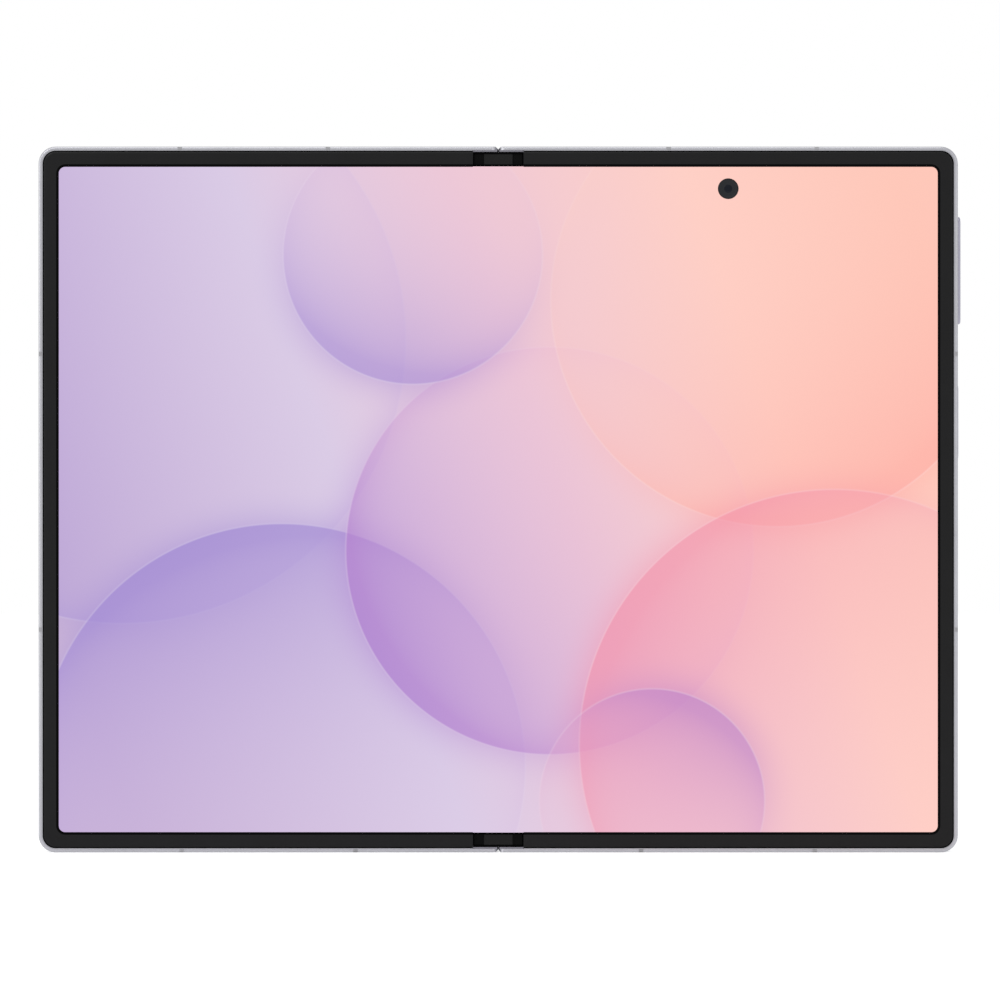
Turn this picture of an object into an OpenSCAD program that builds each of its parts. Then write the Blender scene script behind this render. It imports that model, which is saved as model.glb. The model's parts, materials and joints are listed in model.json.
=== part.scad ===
// Foldable phone with a wide inner screen, drawn open and standing upright on its lower edge.
// X runs across both halves, +Z to the top edge, and the inner screen faces -Y.
// Each module draws in a flat frame first: x across, y up the body, z from the back face (0)
// to the front face (half_t). upright() then stands that frame on its lower edge.
// The hinge has no pin: each half turns on two C-shaped rails whose common centre line lies
// just under the screen, and four gears in the spine keep both halves at the same angle.

/* [Body] */
// Width of the open body
open_w = 161.4; // [152:0.2:172]
// Height of the body, along the hinge
body_h = 123.9; // [116:0.1:134]
// Thickness of one half
half_t = 4.9; // [4.8:0.05:5.8]
// Radius of the four outer corners, seen from the front
corner_r = 3; // [2.6:0.1:5]
// Fillet along the outer edges of the frame
edge_r = 0.4; // [0.2:0.05:0.5]
// Thickness of the rim wall
rim_t = 1.1; // [1:0.05:1.5]
// Rim that shows beside the bezel
rim_lip = 0.6; // [0.5:0.05:0.8]
// Thickness of the mid-plate
plate_t = 0.7; // [0.5:0.05:0.9]

/* [Screen] */
// Width of the black border from the outer edge to the screen
border = 3.5; // [3.3:0.1:5]
// Radius of the screen corners
screen_r = 1.2; // [0.8:0.1:2]
// Thickness of the flexible display panel
panel_t = 0.75; // [0.5:0.05:0.8]
// Height of the bezel above the display
bezel_rise = 0.15; // [0.1:0.01:0.2]
// Fillet along the outer edge of the bezel
bezel_r = 0.4; // [0.2:0.05:0.5]
// Radius of the hole for the inner camera
camera_hole_r = 1.82; // [1.4:0.02:2.2]
// Inner camera, distance from the top edge
camera_drop = 7.4; // [6.5:0.1:12]
// Thickness of the back glass and of the cover glass
glass_t = 0.4; // [0.3:0.05:0.45]

/* [Hinge] */
// Gap between the two closed halves
closed_gap = 0.2; // [0.1:0.05:0.4]
// Gap between the two frames at the hinge line
split_gap = 0.06; // [0.04:0.01:0.2]
// Thickness of the frame lip that covers the spine
lip_t = 0.65; // [0.6:0.01:0.75]
// Wall of the spine cover
spine_wall = 0.4; // [0.3:0.05:0.5]
// Thickness of the rail behind its teeth
rail_back = 0.4; // [0.3:0.05:0.5]
// Width of one rail, along the hinge
rail_w = 3.4; // [2.6:0.1:4]
// Distance between the middles of the two hinge modules
module_span = 76; // [60:1:84]
// Teeth of one synchronising gear
gear_teeth = 12; // [12:2:14]
// Flat of the hinge zone, from the hinge line to the bezel end
fold_half = 4.6; // [4.5:0.05:5.2]

/* [Keys] */
// Length of the volume key
volume_len = 18.9; // [15:0.1:22]
// Middle of the volume key, from the top edge
volume_drop = 21.7; // [19:0.1:24]
// Length of the power key
power_len = 13.1; // [11:0.1:15]
// Middle of the power key, from the top edge
power_drop = 48.3; // [46:0.1:52]
// Width of both keys
key_w = 2; // [1.6:0.05:2.1]
// Volume key, height above the rim
volume_rise = 0.56; // [0.3:0.02:0.7]
// Power key, height above the rim
power_rise = 0.17; // [0.1:0.01:0.3]

/* [Cameras] */
// Width of the camera island
island_w = 17; // [16:0.5:20]
// Length of the camera island
island_len = 37; // [35:0.5:42]
// Height of the camera island above the back
island_rise = 1.3; // [0.8:0.1:2]
// Middle of the island, from the outer side and from the top edge
island_inset = 13.5; // [12.5:0.5:18]
// Distance between the two rear lenses
lens_pitch = 17.5; // [16.5:0.5:19]
// Outer radius of a rear lens ring
lens_ring_r = 6.6; // [5.5:0.1:7]

/* [Port and tray] */
// Width of the mouth of the charging port
port_w = 8.34; // [8:0.02:9]
// Height of the mouth of the charging port
port_h = 2.56; // [2.4:0.02:2.6]
// Depth of the charging port
port_depth = 6.6; // [6:0.1:8]
// Length of the card tray's door
tray_door = 13.4; // [12.6:0.1:16]
// Depth of the card tray
tray_depth = 15.6; // [14.8:0.1:18]
// Middle of the card tray, above the lower edge
tray_height = 24; // [20:0.5:30]

/* [Batteries] */
// Width of the battery in the main half
right_cell_w = 58; // [48:0.5:60]
// Width of the battery in the cover half
left_cell_w = 60; // [50:0.5:62]
// Height of both batteries
cell_h = 58; // [50:0.5:60]

/* [Hidden] */
$fn = 64;

eps = 0.01;                                   // overlap that joins two shapes of one solid
cut = 1;                                      // how far a cutting shape runs past a face
slip = 0.05;                                  // clearance of a sliding or turning fit
half_w = open_w / 2;

// stack of layers, by depth from the back face
panel_front = half_t - bezel_rise;
panel_back = panel_front - panel_t;           // the display lies on the mid-plate here
bezel_seat = half_t - 0.7;                    // step of the rim that carries the bezel
plate_back = panel_back - plate_t;
panel_inset = border - 1;                     // the display runs 1 mm under the bezel
panel_r = 0.8;                                // outer corners of the display panels
back_lip = 0.75;                              // rim that shows beside the back glass
glass_gap = 0.03;                             // joint round a glass or a bezel
film_gap = 0.02;                              // joint between pieces laid on each other
glass_corner = 0.8;                           // inner corners of both back glasses
glass_x0 = 2.6;                               // metal strip along the hinge, on the back

// hinge geometry
axis_sink = 1.4;                              // hinge axes, below the front face
hinge_a = axis_sink + closed_gap / 2;         // half the distance between the axes
axis_d = half_t - axis_sink;                  // depth of both hinge axes
run_gap = 0.1;                                // gap between the spine and the halves
spine_r = axis_d - lip_t - run_gap;           // outer radius of the spine cover
spine_in_r = spine_r - spine_wall;
pocket_r = spine_r + run_gap;                 // pocket of the frame round the spine
pocket_x = hinge_a + pocket_r + 0.05;         // flat wall of that pocket
spine_top = axis_d - 0.2;                     // free edges of the spine cover
end_wall = 0.9;                               // frame wall past each end of the spine
spine_end = end_wall + run_gap;               // spine cover, from the body's end
notch_w = 0.5;                                // chamfered frame corners at the hinge line
notch_depth = 0.4;
spine_end_t = 0.5;                            // end walls of the spine cover
spine_edge_r = spine_in_r - 0.03;             // pieces that stand in the spine cover
fin_half = 0.15;                              // dust fin in the gap between the halves
fin_y0 = notch_depth + 0.05;
fin_back = lip_t + 0.2;
fin_front = axis_d - 1.1;                     // clear of the end walls as they turn
bezel_x0 = pocket_x + slip;                   // ends of the bezels beside the end caps
cap_mid = 2.5;                                // raised middle of an end cap, half its width
cap_front = panel_back + 0.2;
cap_wing_front = spine_top + 0.45;            // low sides of an end cap
cap_y0 = spine_end + spine_end_t + film_gap;  // plug of the cap, inside the spine cover
cap_y1 = border - slip;

// arc rails and gears
ring_teeth = 3 * gear_teeth;
root_k = 1;                                   // tooth root depth, in modules
tip_k = 0.8;                                  // tooth tip height, in modules
pressure = 25;                                // pressure angle of the teeth
backlash = 0.14;                              // share of the pitch left free
rail_out = spine_in_r - slip;
gear_mod = (rail_out - rail_back) / (ring_teeth / 2 + root_k);
ring_pitch_r = gear_mod * ring_teeth / 2;
gear_pitch_r = gear_mod * gear_teeth / 2;
gear_x = [3 * gear_pitch_r, gear_pitch_r, -gear_pitch_r, -3 * gear_pitch_r];
gear_drop = sqrt(pow(ring_pitch_r - gear_pitch_r, 2) - pow(3 * gear_pitch_r - hinge_a, 2));
gear_d = axis_d - gear_drop;                  // depth of the row of gears
mesh_angle = atan2(-gear_drop, 3 * gear_pitch_r - hinge_a);
gear_step = 360 / gear_teeth;
ring_tip_r = ring_pitch_r - gear_mod * tip_k;
rail_start = mesh_angle - 99;                 // toothed end of the rail, past a 90 degree fold
rail_teeth_end = mesh_angle + 9;
rail_arm_lo = axis_d - 0.1;                   // arm of the rail, over the spine's edge
rail_arm_hi = axis_d + 0.3;
foot_end = 10;                                // rail foot, from the hinge line
foot_w = 8;
wing_end = 14;                                // wing plate, from the hinge line
block_x = 10.4;                               // thick strip of mid-plate along the hinge
block_back = plate_back - 0.4;
foot_screws = [7.4, 2.6];                     // x, and half the distance along the hinge

// hinge module, by distance along the hinge from its middle
web_in = 1.5;                                 // gear pocket ends here
groove_in = 2.05;                             // rail groove starts here
groove_w = rail_w + 2 * slip;
groove_out = groove_in + groove_w;
web_out = groove_out + 0.6;
clip_out = web_out + 3;
bracket_end = clip_out + 3;
rail_mid = groove_in + groove_w / 2;
foot_mid = rail_mid + 0.3;
module_y = (body_h + module_span) / 2;        // middle of the upper hinge module
bracket_top = axis_d - 0.4;
retainer_t = 0.3;
centre_plate_back = bracket_top + retainer_t;
centre_plate_half = ring_tip_r + hinge_a - 0.35;
journal_r = 0.32;
bracket_screw_s = clip_out + 1.7;             // bracket screws, from the module's middle

// inner camera and the parts near it
camera_x = (half_w + split_gap / 2) / 2;
camera_y = body_h - camera_drop;
island_x = half_w - island_inset;
island_y = body_h - island_inset - (island_len - island_w) / 2;
lens_y = [island_y + lens_pitch / 2, island_y - lens_pitch / 2];
lens_pupil_r = 2.2;                           // bottom of the funnel in front of a lens
module_r = 4.9;                               // bore for a rear camera barrel
lens_glass_t = 0.4;
flash_r = 1.5;

// flat cable through the hinge
flex_w = 16;
flex_t = 0.12;
flex_d = spine_top + 0.05;                    // where it passes over the spine's edge
flex_end = pocket_x + 2;                      // end of the cable, from the hinge line

// keys
key_d = 2.2;                                  // depth of the middle of the keys
volume_y = body_h - volume_drop;
power_y = body_h - power_drop;
key_gap = 0.12;                               // gap round a key
key_flange = 0.5;                             // flange past each end of the key
key_flange_t = 0.4;
volume_tilt_room = 0.25;                      // room behind the rim for the tilting flange
power_room = 0.05;
dish = 0.06;                                  // shallow recess of the power key

// boards, cells and small parts
inner_x = half_w - rim_t;
cell_gap = 0.5;
cell_x0 = block_x + cell_gap;
module_block = 5.4;                           // half the width of a camera's square base
cell_to_camera = 3.25;
cell_to_board = 1.5;
left_board_h = 17.3;
cell_y1 = lens_y[1] - module_block - cell_to_camera;  // the cell ends below the lower camera
cell_y0 = cell_y1 - cell_h;
cell_back = glass_t + 0.45;
board_y0 = cell_y1 + cell_to_board;
board_y1 = body_h - rim_t - 1;
left_board_y0 = board_y1 - left_board_h;
left_cell_y1 = left_board_y0 - cell_to_board;
left_cell_y0 = left_cell_y1 - cell_h;
board_t = 0.6;
board_x0 = block_x + 0.6;
board_screw_r = 0.6;
board_head_r = 1;
board_head_t = 0.3;
// shield cans: from the board's inner end and lower edge, then width and height
cans = [[5, 6, 18, 14], [25, 6, 16, 12], [6, 22, 14, 9]];
board_back = plate_back - board_t;
can_t = 1.3;
sub_board_y1 = cell_y0 - cell_to_board;
port_x = camera_x;
port_d = 2.45;
port_wall = 0.25;
tongue_w = 6.7;
tongue_t = 0.7;
tongue_in = 0.6;                              // front end of the tongue, behind the mouth
shell_y0 = 0.4;                               // port shell, set back from the lower face
speaker_x = [port_x + 11.5, port_x + 27];
grille_pitch = 1.9;
grille_r = 0.5;
grille_holes = 7;
mic_r = 0.35;
mic_x = 31;                                   // microphones of the lower edge, from the hinge line
upper_mic_x = 45;
band_w = 0.8;
top_bands = [29.9, 55.9];                     // middles of the antenna bands, from the hinge line
bottom_bands = [25.05, 55.55];
side_bands = [36.4, 84.8];                    // those of the outer side, from the top edge
band_to_grille = 1.5 * grille_pitch;          // the band passes between two holes of a grille
magnet_len = 14;
right_magnets_y = [8, 26];
upper_magnet_drop = 39.9;                      // from the top edge
left_magnets_y = [3, body_h - upper_magnet_drop];
coil_r = 21;
coil_hole_r = 10.5;
coil_t = 0.4;
cell_r = 0.8;                                 // rounded sides of a pouch cell
cell_terrace = 3.2;                           // sealed upper end with the leads
cell_terrace_t = 1.2;

// card tray
tray_w = 9.8;                                 // along the side of the body
door_w = 2;
tray_t = 0.8;
tray_d = 2.2;
socket_wall = 0.4;
card_len = 12.4;
card_w = 8.9;
eject_r = 0.4;                                // hole for the eject pin
eject_in = 1.35;                              // its middle, from the end of the door

// outside of the cover half
cover_inset = 2.6;                            // cover display, from the outer edges
cover_camera_r = 2;
slot_w = 0.5;                                 // earpiece slot in the cover glass
slot_len = 11;
slot_drop = 0.7;                              // its middle, below the edge of the glass

// windows of the mid-plate: x, y, width, height
plate_windows = [[24, 90, 12, 5], [58, 12, 10, 6], [44, 14, 8, 4]];

// screws of the rails and of the brackets
rail_screw_r = 0.4;
rail_head_r = 0.85;
rail_head_t = 0.19;
bracket_screw_r = 0.32;
bracket_head_r = 0.85;
bracket_head_t = 0.35;

// ---------------------------------------------------------------- helpers

// stands the flat frame on the lower edge, with the screen facing -Y
module upright() {
    translate([0, half_t / 2, 0]) rotate([90, 0, 0]) children();
}

// side 1 is the main half (+X), side -1 the cover half
module on_side(side) {
    if (side > 0) children();
    else mirror([1, 0, 0]) children();
}

// draws a shape and its mirror image about the middle of the body's height
module both_ends() {
    children();
    translate([0, body_h, 0]) mirror([0, 1, 0]) children();
}

module upper_or_lower(upper) {
    if (upper) children();
    else translate([0, body_h, 0]) mirror([0, 1, 0]) children();
}

// extrudes a section (x, depth) along the body's height, from y0 to y1
module along(y0, y1) {
    translate([0, y1, 0]) rotate([90, 0, 0]) linear_extrude(y1 - y0) children();
}

// extrudes an outline (x, y) from depth d0 to d1
module layer(d0, d1) {
    translate([0, 0, d0]) linear_extrude(d1 - d0) children();
}

// box between two corners
module block(low, high) {
    translate(low) cube(high - low);
}

// outline with corner radius r0 at its x0 side and r1 at its x1 side
module outline(x0, y0, x1, y1, r0, r1) {
    mid = (x0 + x1) / 2;
    translate([x0 + r0, y0]) square([x1 - r1 - x0 - r0, y1 - y0]);
    translate([x0, y0 + r0]) square([mid - x0, y1 - y0 - 2 * r0]);
    translate([mid, y0 + r1]) square([x1 - mid, y1 - y0 - 2 * r1]);
    for (y = [y0 + r0, y1 - r0]) if (r0 > 0) translate([x0 + r0, y]) circle(r0);
    for (y = [y0 + r1, y1 - r1]) if (r1 > 0) translate([x1 - r1, y]) circle(r1);
}

// outline of one half, inset from its three outer edges
module half_outline(x0, inset, r0, r1) {
    outline(x0, inset, half_w - inset, body_h - inset, r0, r1);
}

// runs a section (inward distance, depth) round the three outer edges of a half
module rim_run(x0) {
    side_len = body_h - 2 * corner_r;
    end_len = half_w - corner_r - x0;
    translate([half_w, body_h - corner_r, 0]) rotate([90, 0, 0])
        linear_extrude(side_len) mirror([1, 0]) children();
    translate([x0, body_h, 0]) rotate([90, 0, 90])
        linear_extrude(end_len) mirror([1, 0]) children();
    translate([x0, 0, 0]) rotate([90, 0, 90]) linear_extrude(end_len) children();
    translate([half_w - corner_r, body_h - corner_r, 0]) rotate_extrude(angle = 90)
        translate([corner_r, 0]) mirror([1, 0]) children();
    translate([half_w - corner_r, corner_r, 0]) rotate([0, 0, -90]) rotate_extrude(angle = 90)
        translate([corner_r, 0]) mirror([1, 0]) children();
}

// bar of width w whose x = 0 side has its two edges rounded
module edged_bar(w, h, r) {
    translate([r, 0]) square([w - r, h]);
    translate([0, r]) square([w, h - 2 * r]);
    translate([r, r]) circle(r);
    translate([r, h - r]) circle(r);
}

// stadium outline along y, centred
module stadium(len, w) {
    square([w, len - w], center = true);
    for (y = [-1, 1]) translate([0, y * (len - w) / 2]) circle(w / 2);
}

// half of a button's section: radius r, height h, top edge rounded by f
module button_section(r, h, f) {
    square([r - f, h]);
    square([r, h - f]);
    translate([r - f, h - f]) circle(f);
}

// stadium along y with a rounded upper edge
module soft_stadium(len, w, h, f) {
    straight = len - w;
    for (y = [-1, 1]) translate([0, y * straight / 2, 0])
        rotate_extrude() button_section(w / 2, h, f);
    for (side = [0, 1]) mirror([side, 0, 0]) translate([0, straight / 2, 0])
        rotate([90, 0, 0]) linear_extrude(straight) button_section(w / 2, h, f);
}

// section of the spine at radius r, up to a given depth
module spine_section(r, top) {
    intersection() {
        union() {
            for (x = [-hinge_a, hinge_a]) translate([x, axis_d]) circle(r);
            translate([-hinge_a, axis_d - r]) square([2 * hinge_a, r]);
        }
        translate([-2 * half_t, top - 4 * half_t]) square([4 * half_t, 4 * half_t]);
    }
}

// angle whose involute starts the flank, as an arc offset in degrees
function inv(a) = tan(a) * 180 / PI - a;
function flank_angle(r, base) = r > base ? inv(acos(base / r)) : 0;

// half the angle that a tooth covers at radius r
function tooth_half(r, teeth, base, thin) =
    90 / teeth * (1 - thin) + inv(pressure) - flank_angle(r, base);

// outline of a gear, tooth 0 pointing along the given phase
module gear_outline(teeth, tip_r, root_r, phase, thin) {
    base = gear_mod * teeth / 2 * cos(pressure);
    radii = [root_r, max(root_r, base) + eps, gear_mod * teeth / 2, tip_r];
    polygon([for (i = [0:teeth - 1], side = [-1, 1], k = [0:3])
        let (r = radii[side < 0 ? k : 3 - k],
             a = phase + i * 360 / teeth + side * tooth_half(r, teeth, base, thin))
        [r * cos(a), r * sin(a)]]);
}

// ring sector between two radii, as a section round the hinge axis
module ring_sector(r0, r1, a0, a1) {
    reach = 3 * r1;
    mid = (a0 + a1) / 2;
    difference() {
        circle(r1);
        circle(r0);
        polygon([[0, 0], [reach * cos(a1), reach * sin(a1)],
                 [reach * cos(a1 + 45), reach * sin(a1 + 45)],
                 [reach * cos(mid + 180), reach * sin(mid + 180)],
                 [reach * cos(a0 - 45), reach * sin(a0 - 45)],
                 [reach * cos(a0), reach * sin(a0)]]);
    }
}

// ---------------------------------------------------------------- frames

module rim_section() {
    difference() {
        edged_bar(rim_t, half_t, edge_r);
        translate([rim_lip, bezel_seat]) square([rim_t, half_t]);
        translate([back_lip, -cut]) square([rim_t, cut + glass_t]);
    }
}

// lip over the spine and the pocket wall beside it, with the back glass seat cut in
module hinge_lip() {
    difference() {
        along(0, body_h) difference() {
            translate([split_gap / 2, 0]) square([block_x - split_gap / 2, rail_arm_hi]);
            translate([hinge_a, axis_d]) circle(pocket_r);
            translate([0, lip_t]) square([hinge_a, half_t]);
            translate([0, axis_d - run_gap]) square([pocket_x, half_t]);
            translate([pocket_x + 0.8, glass_t - cut])
                square([block_x, block_back - glass_t + cut]);
        }
        block([glass_x0, back_lip, -cut], [block_x + cut, body_h - back_lip, glass_t]);
    }
}

// rounds the end walls off round the hinge axis, so that the halves can fold
module end_wall_cut() {
    along(-cut, body_h + cut) difference() {
        translate([-cut, axis_d]) square([hinge_a + cut, half_t]);
        translate([hinge_a, axis_d]) circle(hinge_a - split_gap / 2);
    }
}

// chamfered corner of the end walls at the hinge line, seen from the front
module notch_cut() {
    both_ends() layer(-cut, half_t + cut)
        polygon([[-cut, -cut], [notch_w, -cut], [notch_w, 0], [split_gap / 2, notch_depth],
                 [-cut, notch_depth]]);
}

// room in the end walls for the dust fins of the spine cover
module fin_room() {
    both_ends() block([-cut, fin_y0 - run_gap, fin_back - run_gap],
                      [fin_half + run_gap, end_wall + cut, fin_front + 0.3]);
}

// recess of the wing plate, with deeper ones for the feet of the two rails
module plate_recesses(side) {
    block([0, end_wall, rail_arm_hi], [wing_end + slip, body_h - end_wall, half_t]);
    both_ends() translate([0, module_y - side * foot_mid, 0])
        block([0, -foot_w / 2 - slip, rail_arm_lo], [foot_end + slip, foot_w / 2 + slip, half_t]);
    translate([0, body_h / 2, 0])
        block([0, -flex_w / 2 - 0.3, flex_d - slip], [flex_end + 0.2, flex_w / 2 + 0.3, half_t]);
}

module rim_shell() {
    rim_run(split_gap / 2) rim_section();
}

// slots of the six antenna bands, through the rim of the three outer sides
module band_slots() {
    for (x = bottom_bands) translate([x, 0, 0])
        block([-band_w / 2, -cut, -cut], [band_w / 2, rim_t, half_t + cut]);
    for (x = top_bands) translate([x, body_h, 0])
        block([-band_w / 2, -rim_t, -cut], [band_w / 2, cut, half_t + cut]);
    for (drop = side_bands) translate([half_w, body_h - drop, 0])
        block([-rim_t, -band_w / 2, -cut], [cut, band_w / 2, half_t + cut]);
}

// bores through the rim of the lower edge
module edge_bores(x0, count, r) {
    for (i = [0:count - 1]) translate([x0 + i * grille_pitch, -cut, port_d])
        rotate([-90, 0, 0]) cylinder(r = r, h = rim_t + 2 * cut);
}

module foot_holes(side, r, d0, d1) {
    both_ends() for (dy = [-1, 1])
        translate([foot_screws[0], module_y - side * foot_mid + dy * foot_screws[1], d0])
            cylinder(r = r, h = d1 - d0);
}

module half_frame(side) {
    difference() {
        union() {
            difference() {
                rim_shell();
                block([0, end_wall, -cut], [pocket_x, body_h - end_wall, half_t + cut]);
            }
            hinge_lip();
            layer(plate_back, panel_back) difference() {
                half_outline(pocket_x, rim_t - eps, 0, corner_r - rim_t);
                for (hole = plate_windows)
                    translate([hole[0], hole[1]]) square([hole[2], hole[3]]);
            }
        }
        plate_recesses(side);
        band_slots();
        end_wall_cut();
        notch_cut();
        fin_room();
        foot_holes(side, rail_screw_r + film_gap, rail_arm_lo - 0.5, half_t);
    }
}

module antenna_bands() {
    intersection() {
        rim_shell();
        band_slots();
    }
}

module right_frame() color("silver") upright() {
    difference() {
        half_frame(1);
        key_slot(volume_y, volume_len);
        key_slot(power_y, power_len);
        translate([port_x, -cut, port_d]) rotate([-90, 0, 0]) linear_extrude(cut + shell_y0)
            rotate(90) stadium(port_w, port_h);
        translate([port_x, shell_y0, port_d]) rotate([-90, 0, 0]) linear_extrude(port_depth + 1)
            rotate(90) stadium(port_w + 2 * (port_wall + slip), port_h + 2 * (port_wall + slip));
        edge_bores(bottom_bands[1] - band_to_grille, grille_holes, grille_r);
        edge_bores(mic_x, 1, mic_r);
        upper_or_lower(false) edge_bores(upper_mic_x, 1, mic_r);
        translate([camera_x, camera_y, plate_back - cut]) cylinder(r = camera_hole_r + 0.2, h = 3);
        for (y = lens_y) translate([island_x, y, plate_back - cut]) cylinder(r = 3, h = 3);
    }
}

module left_frame() color("silver") upright() on_side(-1) {
    difference() {
        half_frame(-1);
        translate([half_w - rim_t - cut, tray_height, tray_d]) rotate([0, 90, 0])
            linear_extrude(rim_t + 2 * cut) stadium(tray_door + 2 * slip, door_w + 2 * slip);
        upper_or_lower(false) edge_bores(top_bands[1] - band_to_grille, grille_holes, grille_r);
        edge_bores(mic_x, 1, mic_r);
    }
}

module key_slot(y, len) {
    translate([half_w - rim_t - cut, y, key_d]) rotate([0, 90, 0])
        linear_extrude(rim_t + 2 * cut) stadium(len + 2 * key_gap, key_w + 2 * key_gap);
}

module right_antenna_bands() color("darkgray") upright() antenna_bands();
module left_antenna_bands() color("darkgray") upright() on_side(-1) antenna_bands();

// ---------------------------------------------------------------- bezels and display

// section of the bezel's outer strip, with a soft outer edge
module bezel_section() {
    width = panel_inset - rim_lip - glass_gap - 2 * slip;
    height = half_t - bezel_seat;
    difference() {
        square([width, height]);
        translate([-cut, height - bezel_r]) square([cut + bezel_r, bezel_r + cut]);
    }
    intersection() {
        square([width, height]);
        translate([bezel_r, height - bezel_r]) circle(bezel_r);
    }
}

module bezel() {
    bezel_out = rim_lip + glass_gap;
    flat_from = bezel_out + bezel_r + slip;
    difference() {
        union() {
            rim_run(bezel_x0) translate([bezel_out, bezel_seat]) bezel_section();
            layer(panel_front + film_gap, half_t) difference() {
                half_outline(bezel_x0, flat_from, 0, corner_r - flat_from);
                half_outline(bezel_x0 - cut, border, 0, screen_r);
            }
        }
        layer(bezel_seat - cut, panel_front + film_gap)
            half_outline(bezel_x0 - cut, panel_inset - slip, 0, panel_r + slip);
    }
}

module right_bezel() color([0.13, 0.13, 0.14]) upright() bezel();
module left_bezel() color([0.13, 0.13, 0.14]) upright() on_side(-1) bezel();

module panel() {
    layer(panel_back, panel_front)
        outline(fold_half, panel_inset, half_w - panel_inset, body_h - panel_inset, 0, panel_r);
}

module display_right_panel() color("lightpink") upright() difference() {
    panel();
    translate([camera_x, camera_y, 0]) cylinder(r = camera_hole_r, h = half_t);
}

module display_left_panel() color("plum") upright() on_side(-1) panel();

module display_fold_zone() color("thistle") upright()
    block([-fold_half, border, panel_back], [fold_half, body_h - border, panel_front]);

module wing_plate() {
    difference() {
        layer(rail_arm_hi, panel_back)
            outline(pocket_x + 0.1, border, wing_end, body_h - border, 0.5, 0.5);
        for (y = [12:10:body_h - 12]) translate([(pocket_x + wing_end) / 2, y, 0])
            cylinder(r = 1.1, h = half_t);
    }
}

module right_wing_plate() color("gainsboro") upright() wing_plate();
module left_wing_plate() color("gainsboro") upright() on_side(-1) wing_plate();

// ---------------------------------------------------------------- hinge

// section of a rail: toothed arc, plain arc and the arm over the spine's edge
module rail_section(side) {
    phase = (side > 0 ? 0 : gear_step / 2) - mesh_angle;
    lead = phase - gear_step * floor(phase / gear_step);
    translate([hinge_a, axis_d]) difference() {
        ring_sector(ring_tip_r, rail_out, rail_start, 0);
        gear_outline(ring_teeth, ring_pitch_r + gear_mod * root_k,
            ring_pitch_r - gear_mod * root_k, mesh_angle + lead / 3, -backlash);
        ring_sector(ring_tip_r - cut, rail_out - rail_back, rail_teeth_end, 5);
    }
    difference() {
        translate([hinge_a, rail_arm_lo]) square([foot_end - hinge_a, rail_arm_hi - rail_arm_lo]);
        translate([hinge_a, axis_d]) circle(rail_out - rail_back);
    }
}

// rail: its section run along the hinge, and a foot that two screws hold on the frame
module rail(side) {
    difference() {
        union() {
            translate([0, module_y - side * rail_mid, 0]) along(-rail_w / 2, rail_w / 2)
                rail_section(side);
            layer(rail_arm_lo, rail_arm_hi) translate([0, module_y - side * foot_mid])
                outline(pocket_x + 0.1, -foot_w / 2, foot_end, foot_w / 2, 0.4, 0.8);
        }
        foot_holes(side, rail_screw_r + 0.1, 0, half_t);
        foot_holes(side, rail_head_r + slip, rail_arm_hi - rail_head_t - 0.03, half_t);
    }
}

module right_upper_rail() color("lightsteelblue") upright() rail(1);
module right_lower_rail() color("lightsteelblue") upright() upper_or_lower(false) rail(1);
module left_upper_rail() color("lightsteelblue") upright() on_side(-1) rail(-1);
module left_lower_rail() color("lightsteelblue") upright() on_side(-1)
    upper_or_lower(false) rail(-1);

module rail_screws(side) {
    head_back = rail_arm_hi - rail_head_t - film_gap;
    foot_holes(side, rail_screw_r, rail_arm_lo - 0.45, head_back + eps);
    foot_holes(side, rail_head_r, head_back, head_back + rail_head_t);
}

module right_rail_screws() color("dimgray") upright() rail_screws(1);
module left_rail_screws() color("dimgray") upright() on_side(-1) rail_screws(-1);

module spine_cover() color("silver") upright() {
    difference() {
        union() {
            along(spine_end, body_h - spine_end) spine_section(spine_r, spine_top);
            both_ends() block([-fin_half, fin_y0, fin_back], [fin_half, spine_end + eps, fin_front]);
        }
        along(spine_end + spine_end_t, body_h - spine_end - spine_end_t)
            spine_section(spine_in_r, spine_top + cut);
        both_ends() for (s = [-1, 1]) translate([0, module_y + s * bracket_screw_s, 0])
            cylinder(r = bracket_screw_r + film_gap, h = axis_d);
    }
}

// bracket: carries the rails in arc grooves and the gears in a pocket
module hinge_bracket() {
    translate([0, module_y, 0]) difference() {
        along(-bracket_end, bracket_end) spine_section(spine_edge_r, bracket_top);
        // pocket of the four gears
        block([-gear_x[0] - gear_pitch_r - 0.25, -web_in, gear_d - gear_pitch_r - 0.2],
              [gear_x[0] + gear_pitch_r + 0.25, web_in, bracket_top + cut]);
        for (side = [1, -1]) {
            // arc groove of the rail
            translate([side * hinge_a, -side * rail_mid, axis_d]) rotate([90, 0, 0])
                translate([0, 0, -groove_w / 2]) linear_extrude(groove_w) difference() {
                    circle(spine_in_r);
                    circle(ring_tip_r - slip);
                }
            // bore of the long gear, then the bore of its shaft
            translate([side * gear_x[0], 0, gear_d]) rotate([90, 0, 0]) {
                translate([0, 0, side > 0 ? 0 : -groove_out])
                    cylinder(r = gear_pitch_r + gear_mod * tip_k + slip, h = groove_out);
                translate([0, 0, -bracket_end + 1])
                    cylinder(r = journal_r + 0.03, h = 2 * bracket_end - 2);
            }
            // pocket of the torque clips
            translate([side * gear_x[0], 0, 0]) mirror([0, side > 0 ? 0 : 1, 0])
                block([-1.05, web_out, gear_d - 1], [1.05, clip_out, bracket_top + cut]);
            // bores of the short gears
            translate([side * gear_x[1], 0, gear_d]) rotate([90, 0, 0])
                translate([0, 0, -groove_in + 0.12]) cylinder(r = 0.25, h = 2 * groove_in - 0.24);
            // screws into the spine cover
            translate([0, side * bracket_screw_s, 0]) {
                cylinder(r = bracket_screw_r + 0.1, h = axis_d);
                translate([0, 0, bracket_top - bracket_head_t - slip])
                    cylinder(r = bracket_head_r + slip, h = cut);
            }
        }
    }
}

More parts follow.
